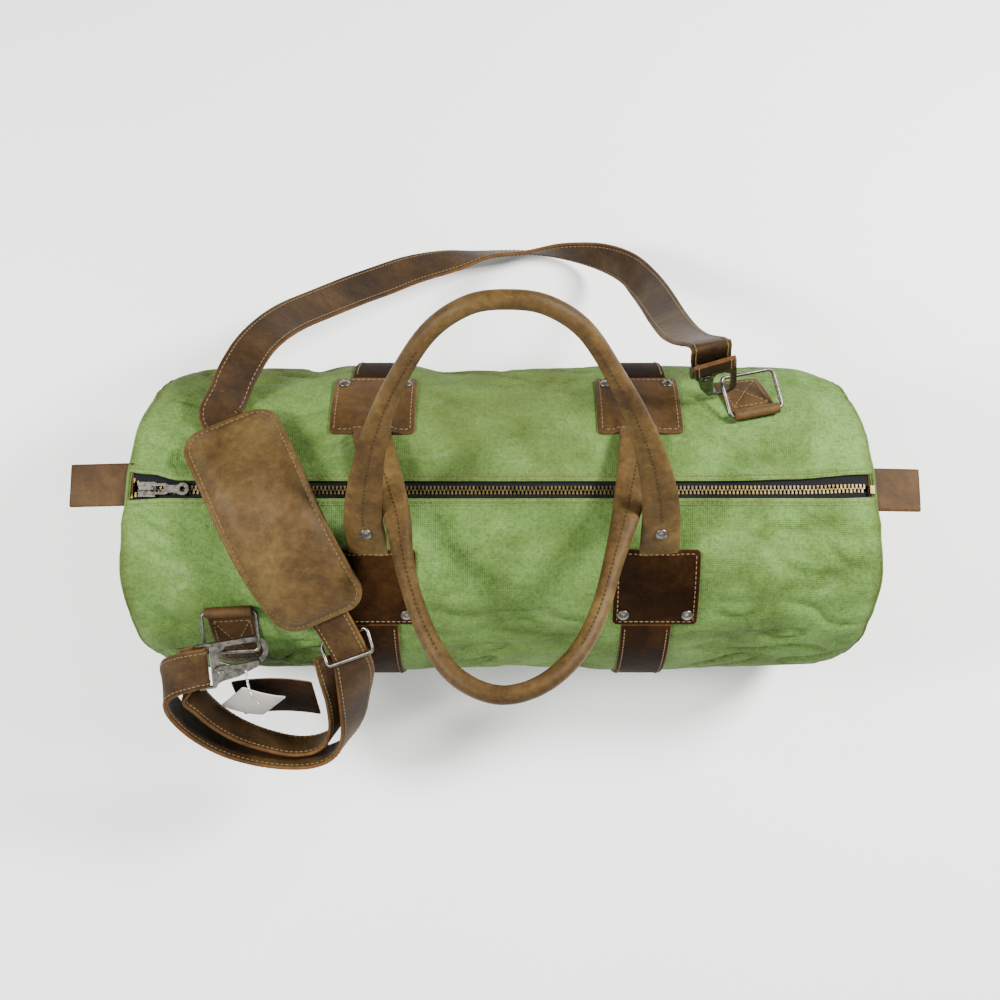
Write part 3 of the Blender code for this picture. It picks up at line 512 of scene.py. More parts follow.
def shell_radius(x, angle):
    """The barrel's radius: it sags at the top, rounds off at its ends and wrinkles between."""
    turn = math.radians(angle)
    side = math.sin(turn)
    reach = end_reach(angle)
    inside = max(0.0, reach - abs(x))
    radius = R
    round_off = max(0.0, 1 - inside / ROUND_OFF)
    radius -= (0.0035 + 0.0085 * side * side) * round_off ** 2.2
    top = math.cos(turn)
    if top > 0:
        radius -= 0.0022 * top ** 3 * math.cos(math.pi * x / 0.56)
    if abs(angle) > 150:
        return radius
    spot = Vector((x * 7, side * 1.1, top * 1.1 + (3 if side > 0 else 0)))
    dents = noise.noise(spot) * 0.5 - 0.25
    folds = noise.noise(Vector((x * 16 + side * 4, x * 9 - top * 6, side * 3)))
    pulls = max(0.0, 1 - abs(folds) * 2.4) ** 3
    near_end = 1 - smoothstep(inside / 0.11)
    low_side = smoothstep((abs(angle) - 25) / 45)
    calm = (1 - leather_cover(x, angle)) * smoothstep((abs(angle) - 5) / 9)
    amount = calm * (0.35 + 0.65 * max(near_end, low_side))
    # Folds fan out from the end tab, where the canvas is gathered and pulled.
    arc = turn * R
    far = math.hypot(inside, arc)
    fan = math.atan2(arc, inside + 0.008)
    ray = noise.noise(Vector((fan * 3.0, far * 8, 5.3 if x > 0 else 0.4)))
    gathered = smoothstep(far / 0.025) * (1 - smoothstep((far - 0.045) / 0.12))
    push = amount * (0.0085 * dents - 0.0048 * pulls) + calm * gathered * 0.0065 * (ray - 0.12)
    push *= 0.25 + 0.75 * smoothstep(inside / 0.030)
    push += 0.0008 * noise.noise(Vector((x * 60, side * 8, top * 8))) * calm
    return radius + (0.2 * push if push > 0 else push)


def skin(x, angle, offset=0.0):
    """A point of the canvas's outer surface, moved outward by offset."""
    turn = math.radians(angle)
    radius = shell_radius(x, angle) + offset
    z = AXIS_Z + radius * math.cos(turn)
    return Vector((x, radius * math.sin(turn), max(z, 0.0)))


def skin_normal(x, angle):
    step = 0.004
    along = skin(x + step, angle) - skin(x - step, angle)
    around = skin(x, angle + 2) - skin(x, angle - 2)
    normal = along.cross(around)
    out = Vector((0, math.sin(math.radians(angle)), math.cos(math.radians(angle))))
    return normal.normalized() if normal.dot(out) > 0 else -normal.normalized()


def panel_wear_and_shade(x, angle, hem):
    """Darkening of the canvas: dirt and fading where it is sewn, darker patches towards the bottom, a stain at
    the back left, painted shade near the pad at the back left, and painted shade of the handles over the middle
    of the top.
    """
    inside = end_reach(angle) - abs(x)
    darkening = 0.45 * (1 - smoothstep(inside / 0.008))
    darkening = max(darkening, 0.30 * math.exp(-((hem - HEM_STITCH) / (1.1 * MM)) ** 2))
    grime = noise.noise(Vector((x * 22, angle * 0.05, 1.7))) * 0.5 + 0.5
    low = 0.55 * smoothstep((abs(angle) - 48) / 55)
    # A stain at the back left, with painted shade from near the pad laid over it.
    back_left = 0.50 * smoothstep((angle - 12) / 40) * smoothstep((-x - 0.08) / 0.12)
    # Painted shade of the handles across the middle of the top and back.
    middle = 0.60 * smoothstep((angle + 10) / 30) * math.exp(-((x + 0.005) / 0.11) ** 2)
    # The darker patches towards the bottom, plus the stain and the painted shade above.
    rubbed = low * grime + (back_left + middle) * (0.25 + 0.8 * grime)
    return min(0.8, darkening * (0.4 + 0.8 * grime) + rubbed)


FRONT_EDGE = ((-0.28, 8.0), (-0.245, 6.8), (0.14, 6.6), (0.25, 6.8), (0.28, 5.6))
BACK_EDGE = ((-0.28, 14.6), (-0.262, 12.0), (-0.238, 6.8), (0.13, 6.7), (0.17, 6.7), (0.215, 7.8), (0.28, 12.4))


def slot_edge(x, side):
    """Half-width of the zipper opening on one side of the centre line, in metres."""
    table = FRONT_EDGE if side < 0 else BACK_EDGE
    for (low, start), (high, stop) in zip(table, table[1:]):
        if x <= high:
            return (start + (stop - start) * smoothstep((x - low) / (high - low))) * MM
    return table[-1][1] * MM


def hem_rise(hem):
    """The hem is folded under and stands slightly proud of its row of stitches."""
    rise = 0.7 * MM * (1 - smoothstep((hem - 5.0 * MM) / MM)) - MM * math.exp(-(hem / MM) ** 2)
    return rise - 0.35 * MM * math.exp(-((hem - HEM_STITCH) / (0.7 * MM)) ** 2)


def canvas_panel(name, stop, owner):
    """One side of the shell, from the zipper's opening round to the bottom panel."""
    verts = []
    uvs = []
    darkening = []
    side = math.copysign(1, stop)
    full = math.radians(abs(stop)) * R
    near = [0, 0.35, 0.8, 1.4, 2.1, 2.9, 3.8, 4.5, 5.0, 5.5, 6.0, 7.2, 9.0, 11.5]
    hems = [d * MM for d in near] + spread(14.5 * MM, full, 100)
    fractions = [math.sin(math.pi / 2 * f) for f in spread(-1, 1, 190)]
    for layer in (0.0, -CANVAS_THICK):
        for hem in hems:
            for f in fractions:
                start = slot_edge(f * SLOT_REACH, side)
                angle = side * math.degrees((start + hem * (1 - start / full)) / R)
                x = f * (end_reach(angle) - SEAM_GAP)
                verts.append(skin(x, angle, layer + (hem_rise(hem) if layer == 0.0 else 0.0)))
                uvs.append((x, math.radians(angle) * R))
                darkening.append(panel_wear_and_shade(x, angle, hem))
    faces, _ = slab_faces(len(hems), len(fractions))
    return build(name, verts, faces, [CANVAS], "bag", "green_canvas", uvs=uvs, darkening=darkening, sharp=60, owner=owner)


def end_disc(name, side, owner):
    """The end panel bulges out between its seams."""
    verts = []
    faces = []
    uvs = []
    darkening = []
    spokes = 96
    depth = [1.0, 0.96, 0.9, 0.8, 0.66, 0.5, 0.32, 0.15]
    for layer in (0, 1):
        for f in depth:
            for k in range(spokes):
                angle = -180 + 360 * k / spokes
                reach = end_reach(angle)
                rim = skin(side * (reach - SEAM_GAP), angle, -MM)
                rim.z = max(rim.z, 0.003)
                centre = Vector((side * BULGE_X, 0, AXIS_Z))
                point = centre + (rim - centre) * f
                bulge = 0.006 * (1 - f ** 3)
                bulge += 0.0045 * noise.noise(point * 9) * (1 - f ** 6)
                point.x = side * (abs(rim.x) * f + BULGE_X * (1 - f) + bulge - layer * 1.6 * MM)
                verts.append(point)
                uvs.append((point.y, point.z))
                darkening.append(0.45 * smoothstep((f - 0.9) / 0.1) + 0.25 * smoothstep(abs(angle) / 180))
    rings = len(depth)
    for layer in (0, 1):
        base = layer * rings * spokes
        for r in range(rings - 1):
            for k in range(spokes):
                j = (k + 1) % spokes
                faces.append((base + r * spokes + k, base + r * spokes + j, base + (r + 1) * spokes + j,
                              base + (r + 1) * spokes + k))
        faces.append(tuple(base + (rings - 1) * spokes + k for k in range(spokes)))
    for k in range(spokes):
        j = (k + 1) % spokes
        second = rings * spokes
        faces.append((k, j, second + j, second + k))
    return build(name, verts, faces, [CANVAS], "bag", "green_canvas", uvs=uvs, darkening=darkening, owner=owner)


def piping(name, side, owner):
    """A cord covered in canvas, sewn into the end seam."""
    path = []
    for k in range(120):
        angle = -180 + 3 * k
        reach = end_reach(angle)
        point = skin(side * (reach - 0.0002), angle, -0.8 * MM)
        point.x = side * (reach + 0.0002)
        point.z = max(point.z, 0.0026)
        path.append(point)
    made = tube(name, path, 1.3 * MM, [CANVAS], "bag", "green_canvas", 10, closed=True, owner=owner)
    marks = made.data.attributes.new("darkening", "FLOAT", "POINT")
    marks.data.foreach_set("value", [0.30 + 0.25 * noise.noise(v.co * 40) for v in made.data.vertices])
    return made


def bottom_panel():
    verts = []
    uvs = []
    darkening = []
    angles = spread(153.6, 206.4, 24)
    fractions = spread(-1, 1, 120)
    for layer in (0.0, -CANVAS_THICK):
        for angle in angles:
            reach = end_reach(angle) - SEAM_GAP
            for f in fractions:
                point = skin(f * reach, angle, layer)
                point.z = max(point.z, -layer)
                verts.append(point)
                uvs.append((f * reach, math.radians(angle) * R))
                darkening.append(0.45)
    faces, _ = slab_faces(len(angles), len(fractions))
    build("canvas_bottom", verts, faces, [CANVAS], "bag", "green_canvas", uvs=uvs, darkening=darkening,
          owner=("canvas_bottom_panel",))


def canvas_shell():
    canvas_panel("canvas_front", -153.4, ("canvas_front_panel",))
    canvas_panel("canvas_back", 153.4, ("canvas_back_panel",))
    bottom_panel()
    for side, word in ((-1, "left"), (1, "right")):
        end_disc("canvas_end_" + word, side, ("end_panel_" + word,))
        piping("seam_piping_" + word, side, ("end_piping_" + word,))
    rows = []
    for side in (-1, 1):
        spots = [(x, side * math.degrees((slot_edge(x, side) + HEM_STITCH) / R))
                 for x in spread(-0.273, 0.273, 200)]
        rows.append(([skin(x, angle, 0.45 * MM) for x, angle in spots], [skin_normal(*spot) for spot in spots]))
    stitches("zipper_topstitching", rows, "bag", THREAD, "green_canvas", 3.6 * MM, 2.6 * MM, 0.40 * MM)


# ---------------------------------------------------------------- leather laid on the barrel


def plate(name, place, half_w, half_h, corner, low, thick, mats, body, slot, nu=16, nv=16, **extra):
    """A leather piece over place(a, b) -> (point, normal), with rounded corners and softened edges."""
    edge = 1.1 * MM
    depths = [0, 0.3 * edge, edge] + [corner * f for f in (0.3, 0.6, 1.0) if corner * f > edge * 1.3]
    rows = [-half_h + d for d in depths] + spread(-half_h + depths[-1], half_h - depths[-1], nv)[1:-1]
    rows += [half_h - d for d in reversed(depths)]
    verts = []
    for layer in (1, 0):
        for b in rows:
            depth = half_h - abs(b)
            inset = 0.0
            if depth < corner:
                inset = corner - math.sqrt(max(0.0, corner ** 2 - (corner - depth) ** 2))
            w = half_w - inset
            cuts = [-w, -w + 0.3 * edge, -w + edge] + spread(-w + edge, w - edge, nu)[1:-1]
            cuts += [w - edge, w - 0.3 * edge, w]
            for a in cuts:
                point, normal = place(a, b)
                off = min(w - abs(a), depth)
                soft = 0.42 * thick * (1 - min(1.0, off / edge)) ** 2
                lift = low(a, b) if callable(low) else low
                verts.append(point + normal * (lift + (thick - soft if layer else 0.35 * soft)))
    faces, marks = slab_faces(len(rows), len(verts) // (2 * len(rows)))
    return build(name, verts, faces, mats, body, slot, marks, **extra)


def outline_rows(place, half_w, half_h, corner, inset, rise):
    """Stitch rows a fixed distance inside a plate's outline."""
    w = half_w - inset
    h = half_h - inset
    r = max(0.5 * MM, corner - inset)
    runs = (((-w, -h + r), (-w, h - r)), ((-w + r, h), (w - r, h)), ((w, h - r), (w, -h + r)),
            ((w - r, -h), (-w + r, -h)))
    rows = []
    for (a0, b0), (a1, b1) in runs:
        spots = [(a0 + (a1 - a0) * t, b0 + (b1 - b0) * t) for t in spread(0, 1, 30)]
        found = [place(a, b) for a, b in spots]
        rows.append(([p + n * rise(a, b) for (p, n), (a, b) in zip(found, spots)], [n for _, n in found]))
    return rows


def on_barrel(centre_x, side):
    """A place function for a piece whose middle is 35 degrees down one side of the barrel."""
    def place(a, b):
        angle = side * (35.0 + math.degrees(b / R))
        x = centre_x + a
        return skin(x, angle), skin_normal(x, angle)
    return place


# Each patch: its name, its side, its middle and its handle leg along the barrel, and its leather.
PATCHES = (("front_left", -1, -0.095, -0.0975, LEATHER_DARK), ("front_right", -1, 0.116, 0.116, LEATHER_DARK),
           ("back_left", 1, -0.097, -0.0955, LEATHER_WARM), ("back_right", 1, 0.105, 0.102, LEATHER_WARM))


def rivet_cap(name, foot, up, body, owner, radius=4.6 * MM):
    """A low domed cap with a rolled rim."""
    up = up.normalized()
    side = up.orthogonal().normalized()
    other = up.cross(side)
    profile = [(0.90, -0.10), (1.0, 0.0), (1.0, 0.10), (0.93, 0.19), (0.86, 0.18), (0.80, 0.22), (0.62, 0.33),
               (0.40, 0.41), (0.18, 0.445), (0.04, 0.45)]
    rings = [circle(foot + radius * rise * up, side, other, radius * wide, 24) for wide, rise in profile]
    return loft(name, rings, [NICKEL], body, "antique_nickel", sharp=50, owner=owner)


def patch(word, side, centre, leg_x, leather):
    half_w = PATCH_WIDTH / 2
    half_h = R * math.radians(PATCH_ANGLE) / 2
    place = on_barrel(centre, side)

    def under(a, b):
        # The handle's foot passes under the patch's upper edge and lifts it.
        across = 1 - smoothstep((abs(a - leg_x + centre) - 13 * MM) / (5 * MM))
        along = 1 - smoothstep((b + half_h - 16 * MM) / (12 * MM))
        return 0.35 * MM + 2.9 * MM * across * along

    def top(a, b):
        return under(a, b) + BARREL_LEATHER + 0.1 * MM

    plate("leather_patch_" + word, place, half_w, half_h, PATCH_CORNER, under, BARREL_LEATHER,
          [leather, LEATHER_EDGE], "bag", "brown_leather", 26, 26, owner=("patch_" + word,))
    rows = outline_rows(place, half_w, half_h, PATCH_CORNER, 3.4 * MM, top)
    stitches("patch_stitching_" + word, rows, "bag")
    for end, reach in (("left", -24 * MM), ("right", 24 * MM)):
        point, normal = place(reach, half_h - R * math.radians(4.5))
        rivet_cap(f"rivet_{word}_{end}", point + normal * 2.75 * MM, normal, "bag",
                  (f"patch_{word}_rivet_{end}",))


def band(word, centre):
    """A band that runs from one patch under the bag to the other, flat where the bag rests on it."""
    half_h = R * math.radians(130.2)

    def place(a, b):
        angle = 180 + math.degrees(b / R)
        point = skin(centre + a, angle)
        if abs(b) >= R * math.radians(30):
            return point, skin_normal(centre + a, angle)
        if point.z < 3.2 * MM:
            point.z = max(point.z, 2.65 * MM)
        return point, barrel_normal(angle)

    made = plate("leather_band_" + word, place, BAND_WIDTH / 2, half_h, 0.5 * MM, 0.3 * MM, BARREL_LEATHER,
                 [LEATHER_DARK, LEATHER_EDGE], "bag", "brown_leather", 10, 150, owner=("band_" + word,))
    for v in made.data.vertices:
        v.co.z = max(v.co.z, 0.2 * MM)
    rows = []
    for a in (-16 * MM, 16 * MM):
        for start, stop in ((-0.98, -0.2), (0.2, 0.98)):
            spots = [place(a, half_h * f) for f in spread(start, stop, 90)]
            rows.append(([p + n * 2.6 * MM for p, n in spots], [n for _, n in spots]))
    stitches("band_stitching_" + word, rows, "bag")


def patches_and_bands():
    for row in PATCHES:
        patch(*row)
    for word, centre in BAND_X.items():
        band(word, centre)


# ---------------------------------------------------------------- handles

# The handles' middle lines, in millimetres: along the barrel, and up from the hinge.
FRONT_ARCH = ((-98, 4.5), (-99.5, 30), (-95, 65), (-86, 105), (-71, 145), (-48, 185), (-22, 206),
              (4, 210.5), (30, 206), (55, 187), (77, 150), (95, 112), (108, 72), (115, 35), (116.5, 4.5))
BACK_ARCH = ((-96, 4.5), (-86, 35), (-75, 71), (-67, 115), (-52, 160), (-32, 192), (-3, 206.5),
             (26, 200), (51, 178), (68, 146), (80, 106), (90, 70), (98, 35), (103, 4.5))


HINGE_Y = 43 * MM
HINGE_Z = 244.5 * MM
FLAT_WIDTH = 29 * MM
FLAT_THICK = 6.4 * MM
GRIP_DIAMETER = 13.4 * MM
HANDLE_SIDES = 28
# A foot's rows: how far from the centre line, and the gap to the canvas, in millimetres.
FOOT_ROWS = ((57, 1.9), (54, 2.0), (50, 2.3), (47, 2.9), (44.6, 4.0))


def handle_foot(x, side, sign):
    """Rows of a foot's middle line, from under its patch up to the hinge."""
    rows = []
    for y, gap in FOOT_ROWS:
        angle = side * math.degrees(math.asin(y * MM / R))
        share = 0.55 + 0.3 * smoothstep((54 - y) / 10)
        rows.append((skin(x, angle, gap * MM), 0.0, Vector((sign, 0, 0)), skin_normal(x, angle), share))
    return rows


def handle_ring(place, across, up, width, thick, blend):
    """A cross-section: a folded strap where blend is 0, a round grip where it is 1."""
    power = 0.42 + 0.58 * blend
    ring = []
    for k in range(HANDLE_SIDES):
        turn = 2 * math.pi * k / HANDLE_SIDES
        c = math.copysign(abs(math.cos(turn)) ** power, math.cos(turn))
        s = math.copysign(abs(math.sin(turn)) ** power, math.sin(turn))
        # The fold is thin at its sewn outer edge and fuller at the rolled inner edge.
        full = 1 - 0.22 * (1 - blend) * c
        ring.append(place + across * width / 2 * c + up * thick / 2 * s * full)
    return ring


def handle(word, side, arch, lean, full_taper):
    """A strap rolled into a round grip. Its flat feet run down under the patches."""
    body = word + "_handle"
    rise = math.radians(lean)
    out = Vector((0, -side * math.cos(rise), math.sin(rise)))
    top = Vector((0, side * math.sin(rise), math.cos(rise)))
    hinge = Vector((0, side * HINGE_Y, HINGE_Z))
    inner = smooth_path([Vector((x, reach, 0)) * MM for x, reach in arch], 7)
    spine = [(hinge + point.x * X_AXIS + point.y * out, point.y, Vector((-along.y, along.x, 0)), top, 1.0)
             for point, along in zip(inner, tangents(inner))]
    spine = handle_foot(arch[0][0] * MM, side, -1) + spine + handle_foot(arch[-1][0] * MM, side, 1)[::-1]
    rings = []
    crest = []
    for place, reach, flat, up, share in spine:
        blend = smoothstep(reach / full_taper)
        width = FLAT_WIDTH + (GRIP_DIAMETER - FLAT_WIDTH) * blend
        thick = (FLAT_THICK + (GRIP_DIAMETER - FLAT_THICK) * blend) * share
        if reach < 5 * MM:
            flat = Vector((math.copysign(1, flat.x), 0, 0))
        across = flat.x * X_AXIS + flat.y * out
        rings.append(handle_ring(place, across, up, width, thick, blend))
        crest.append((place + up * thick / 2, up, reach))
    made = loft("rolled_handle_" + word, rings, [LEATHER_GOLD], None, "brown_leather", sharp=70,
                owner=("handle_" + word,))
    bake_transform(made)
    rows = []
    for half in (crest[:len(crest) // 2], crest[len(crest) // 2:][::-1]):
        kept = [(p, n) for p, n, reach in half if 22 * MM < reach < 178 * MM]
        rows.append(([p for p, _ in kept], [n for _, n in kept]))
    stitches("handle_stitching_" + word, rows, body, THREAD_DARK, pitch=3.6 * MM, length=2.6 * MM)
    for end, foot_x in (("left", arch[0][0]), ("right", arch[-1][0])):
        spot = hinge + foot_x * MM * X_AXIS + 15 * MM * out + 3.3 * MM * top
        rivet_cap(f"handle_rivet_{word}_{end}", spot, top, body, (f"handle_{word}_rivet_{end}",), 4.8 * MM)


# ---------------------------------------------------------------- zipper


# A tooth seen from above, in millimetres: two legs that grip the tape and a narrow head. Its layers are
# (height, share of the outline), so its edges are softened.
TOOTH_OUTLINE = ((-0.85, 3.3), (0.85, 3.3), (0.85, 1.5), (0.58, 1.0), (0.62, 0.0), (0.42, -0.55),
                 (-0.42, -0.55), (-0.62, 0.0), (-0.58, 1.0), (-0.85, 1.5))
TOOTH_LAYERS = ((-1.15, 0.86), (-0.9, 1.0), (0.9, 1.0), (1.15, 0.86))
TOOTH_MIDDLE = 1.7
TOOTH_PITCH = 2.9 * MM
TEETH_REACH = 0.274


def zip_z(x):
    """The zipper sags with the canvas."""
    return skin(x, 0).z - 3.5 * MM


def zip_shift(x, side):
    """How far behind the centre line a tooth row lies: it drifts back at one end and parts at the other."""
    apart = smoothstep((-0.2625 - x) / 0.014)
    return 1.4 * MM * smoothstep((x - 0.225) / 0.05) + (7.5 * MM if side > 0 else -3.0 * MM) * apart


def zipper():
    xs = spread(-0.2765, 0.2765, 220)
    for word, side in (("front", -1), ("back", 1)):
        rings = []
        for x in xs:
            z = zip_z(x)
            inner = zip_shift(x, side) + side * 2.2 * MM
            outer = side * 17.5 * MM
            middle = (inner + outer) / 2
            profile = [(inner, 0.35), (inner, -0.35), (outer, -1.9), (outer, -1.2), (middle, 0.0)]
            rings.append([Vector((x, y, z + dz * MM)) for y, dz in profile])
        loft("zipper_tape_strip_" + word, rings, [TAPE], "bag", "black_tape", owner=("zipper_tape_" + word,))
        verts = []
        faces = []
        for i in range(int(2 * TEETH_REACH / TOOTH_PITCH)):
            x = -TEETH_REACH + TOOTH_PITCH * (i + (0.5 if side > 0 else 0.0))
            shift = zip_shift(x, side)
            z = zip_z(x) + 0.05 * MM
            start = len(verts)
            for height, shrink in TOOTH_LAYERS:
                for dx, dy in TOOTH_OUTLINE:
                    y = shift + side * (TOOTH_MIDDLE + (dy - TOOTH_MIDDLE) * (shrink * 0.5 + 0.5)) * MM
                    verts.append((x + dx * shrink * MM, y, z + height * MM))
            faces += stack_faces(start, len(TOOTH_LAYERS), len(TOOTH_OUTLINE))
        build("zipper_tooth_row_" + word, verts, faces, [BRASS], "bag", "antique_brass", sharp=35,
              owner=("zipper_teeth_" + word,))


# ---------------------------------------------------------------- hardware kept from the CAD


def dress(node_name, mat, width, segments):
    """Soften a metal part's edges and give it its metal."""
    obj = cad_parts[node_name]
    obj.data.materials.clear()
    obj.data.materials.append(mat)
    weld = obj.modifiers.new("weld", "WELD")
    weld.merge_threshold = 0.00002
    bevel = obj.modifiers.new("bevel", "BEVEL")
    bevel.width = width
    bevel.segments = segments
    bevel.limit_method = "ANGLE"
    bevel.angle_limit = math.radians(40)


def round_corners(corners, radius, steps=6):
    points = []
    count = len(corners)
    for i, corner in enumerate(corners):
        before = (Vector(corners[i - 1]) - Vector(corner)).normalized()
        after = (Vector(corners[(i + 1) % count]) - Vector(corner)).normalized()
        centre = Vector(corner) + radius * (before + after)
        for k in range(steps + 1):
            turn = math.pi / 2 * k / steps
            points.append(tuple(centre - radius * (math.cos(turn) * after + math.sin(turn) * before)))
    return points


def barrel_point(angle, offset=0.0):
    turn = math.radians(angle)
    return Vector((0, (R + offset) * math.sin(turn), AXIS_Z + (R + offset) * math.cos(turn)))


def barrel_normal(angle):
    turn = math.radians(angle)
    return Vector((0, math.sin(turn), math.cos(turn)))


def station(angle, turn):
    """The unit vectors across, down and out of the barrel at an angle, turned about the outward one."""
    out = barrel_normal(angle)
    round_side = math.copysign(1, angle)
    down = Vector((0, math.cos(math.radians(angle)), -math.sin(math.radians(angle)))) * round_side
    spin = Matrix.Rotation(math.radians(turn), 3, out)
    return spin @ X_AXIS, spin @ down, out


LEFT_STATION = (-204 * MM, -42.5, 4.0)
RIGHT_STATION = (193 * MM, 28.0, 14.0)
LEFT_RING_LIFT = 20.5
RIGHT_RING_LIFT = 25.0
RING_LENGTH = 31 * MM
RING_HALF = 20.8 * MM


def ring_axes(place, lift):
    x, angle, turn = place
    across, down, out = station(angle, turn)
    pivot = barrel_point(angle, 5.4 * MM) + x * X_AXIS
    swing = math.radians(lift)
    return pivot, across, down, out, down * math.cos(swing) + out * math.sin(swing)


def ring_set(word, place, lift, length):
    """A wire ring, and the folded leather tab that holds it."""
    pivot, across, down, out, reach = ring_axes(place, lift)
    corners = [(-RING_HALF, 0), (RING_HALF, 0), (RING_HALF, RING_LENGTH), (-RING_HALF, RING_LENGTH)]
    path = [pivot + a * across + d * reach for a, d in round_corners(corners, 4 * MM)]
    tube("wire_ring_" + word, path, RING_WIRE, [NICKEL], word + "_ring", "antique_nickel", 14, closed=True,
         owner=("ring_" + word,))
    x, angle, turn = place
    slope = math.sqrt(1 - down.x ** 2)

    def on_tab(distance, height):
        """A point of the tab's middle line, the way across it and the barrel's normal there."""
        sweep = angle + math.copysign(math.degrees(distance * slope / R), angle)
        point = skin(x + distance * down.x, sweep, TAB_GAP + height)
        return point, station(sweep, turn)[0], barrel_normal(sweep)

    loop_r = 1.6 * MM + TAB_GAP + TAB_PLY / 2
    route = []
    for a in spread(-55, 262, 22):
        swing = math.radians(a)
        route.append((pivot + loop_r * (math.cos(swing) * down + math.sin(swing) * out), across))
    route += [on_tab(distance, TAB_PLY / 2)[:2] for distance in spread(9 * MM, length, 24)]
    ribbon("ring_tab_leather_" + word, [point for point, _ in route], [side for _, side in route], 36 * MM,
           TAB_PLY, [LEATHER_WARM, LEATHER_EDGE], "bag", "brown_leather", owner=("ring_tab_" + word,))
    # A box of stitches with a cross in it, below the ring.
    near = 11 * MM
    far = length - 4 * MM
    w = 14 * MM
    rows = []
    for (a0, d0), (a1, d1) in (((-w, near), (w, near)), ((w, near), (w, far)), ((w, far), (-w, far)),
                               ((-w, far), (-w, near)), ((-w, near), (w, far)), ((w, near), (-w, far))):
        points = []
        normals = []
        for t in spread(0, 1, 12):
            point, side, normal = on_tab(d0 + (d1 - d0) * t, TAB_PLY)
            points.append(point + side * (a0 + (a1 - a0) * t) + normal * 0.15 * MM)
            normals.append(normal)
        rows.append((points, normals))
    stitches("ring_tab_stitching_" + word, rows, "bag")


# ---------------------------------------------------------------- shoulder strap


def hook_frame(crossing, foot, u_axis, v_axis):
    u_axis = u_axis.normalized()
    v_axis = (v_axis - v_axis.dot(u_axis) * u_axis).normalized()
    n_axis = v_axis.cross(u_axis)
    made = Matrix((u_axis, v_axis, n_axis)).transposed().to_4x4()
    made.translation = crossing - foot[0] * u_axis - foot[1] * v_axis
    return made


def left_hook_frame():
    pivot, across, _, _, reach = ring_axes(LEFT_STATION, LEFT_RING_LIFT)
    crossing = pivot + RING_LENGTH * reach + 6 * MM * across
    over = across.cross(reach)
    if over.z < 0:
        over = -over
    dip = math.radians(22)
    return hook_frame(crossing, (31 * MM, 9 * MM), across * math.cos(dip) - over * math.sin(dip), reach)


def right_hook_frame():
    pivot, across, _, _, reach = ring_axes(RIGHT_STATION, RIGHT_RING_LIFT)
    crossing = pivot + 25 * MM * reach - RING_HALF * across
    return hook_frame(crossing, (40 * MM, 9.5 * MM), Vector((0.15, -0.18, -0.97)), -across)


PAD_LOW_X = -129 * MM
PAD_HIGH_X = -207.5 * MM
PAD_LOW_ANGLE = -44.0
PAD_HIGH_ANGLE = 23.5
STRAP_THICK = 3.2 * MM
STRAP_WIDTH = 30.4 * MM
STRAP_OFFSET = 0.7 * MM + STRAP_THICK / 2


def pad_frame(t, offset):
    x = PAD_LOW_X + (PAD_HIGH_X - PAD_LOW_X) * t
    angle = PAD_LOW_ANGLE + (PAD_HIGH_ANGLE - PAD_LOW_ANGLE) * t
    lift = 10.8 * MM * math.sin(math.pi * min(max(t, 0), 1)) ** 2 + 3.4 * MM * max(0, 1 - 2 * t)
    point = barrel_point(angle, offset + lift) + x * X_AXIS
    lean = math.atan2(PAD_LOW_X - PAD_HIGH_X, math.radians(PAD_HIGH_ANGLE - PAD_LOW_ANGLE) * R)
    turn = math.radians(angle)
    side = Vector((math.cos(lean), math.sin(lean) * math.cos(turn), -math.sin(lean) * math.sin(turn)))
    return point, side


PAD_LENGTH = 182 * MM
PAD_WIDTH = 75 * MM
PAD_CORNER = 19 * MM
PAD_CROWN = 5.4 * MM
PAD_GROOVE = 4.2 * MM
PAD_OFFSET = STRAP_OFFSET + STRAP_THICK / 2 + 1.4 * MM


def pad_place(a, b):
    """A point of the pad's underside, a across it and b along it from its middle, and the normal there."""
    t = b / PAD_LENGTH + 0.5
    point, side = pad_frame(t, PAD_OFFSET)
    ahead, _ = pad_frame(t + 0.01, PAD_OFFSET)
    back, _ = pad_frame(t - 0.01, PAD_OFFSET)
    normal = side.cross((ahead - back).normalized()).normalized()
    return point + side * a, -normal if normal.z < 0 else normal


def pad_heights(a, b):
    """The pad's upper and lower faces: a thin sewn margin, a groove of stitches and a soft crown."""
    from_side = PAD_WIDTH / 2 - abs(a)
    from_end = PAD_LENGTH / 2 - abs(b)
    off = min(from_side, from_end)
    if from_side < PAD_CORNER and from_end < PAD_CORNER:
        off = PAD_CORNER - math.hypot(PAD_CORNER - from_side, PAD_CORNER - from_end)
    off = max(0.0, off)
    rim = math.sqrt(min(1.0, off / (0.9 * MM)))
    crown = smoothstep((off - 3.0 * MM) / (13 * MM)) ** 0.8
    groove = 0.7 * MM * math.exp(-((off - PAD_GROOVE) / (0.9 * MM)) ** 2)
    ripple = 0.5 * MM * noise.noise(Vector((a * 45, b * 30, 0.3)))
    upper = 2.0 * MM + 1.05 * MM * rim + crown * (PAD_CROWN + ripple) - groove
    return upper, 0.9 * MM * (1 - rim) + 0.2 * MM


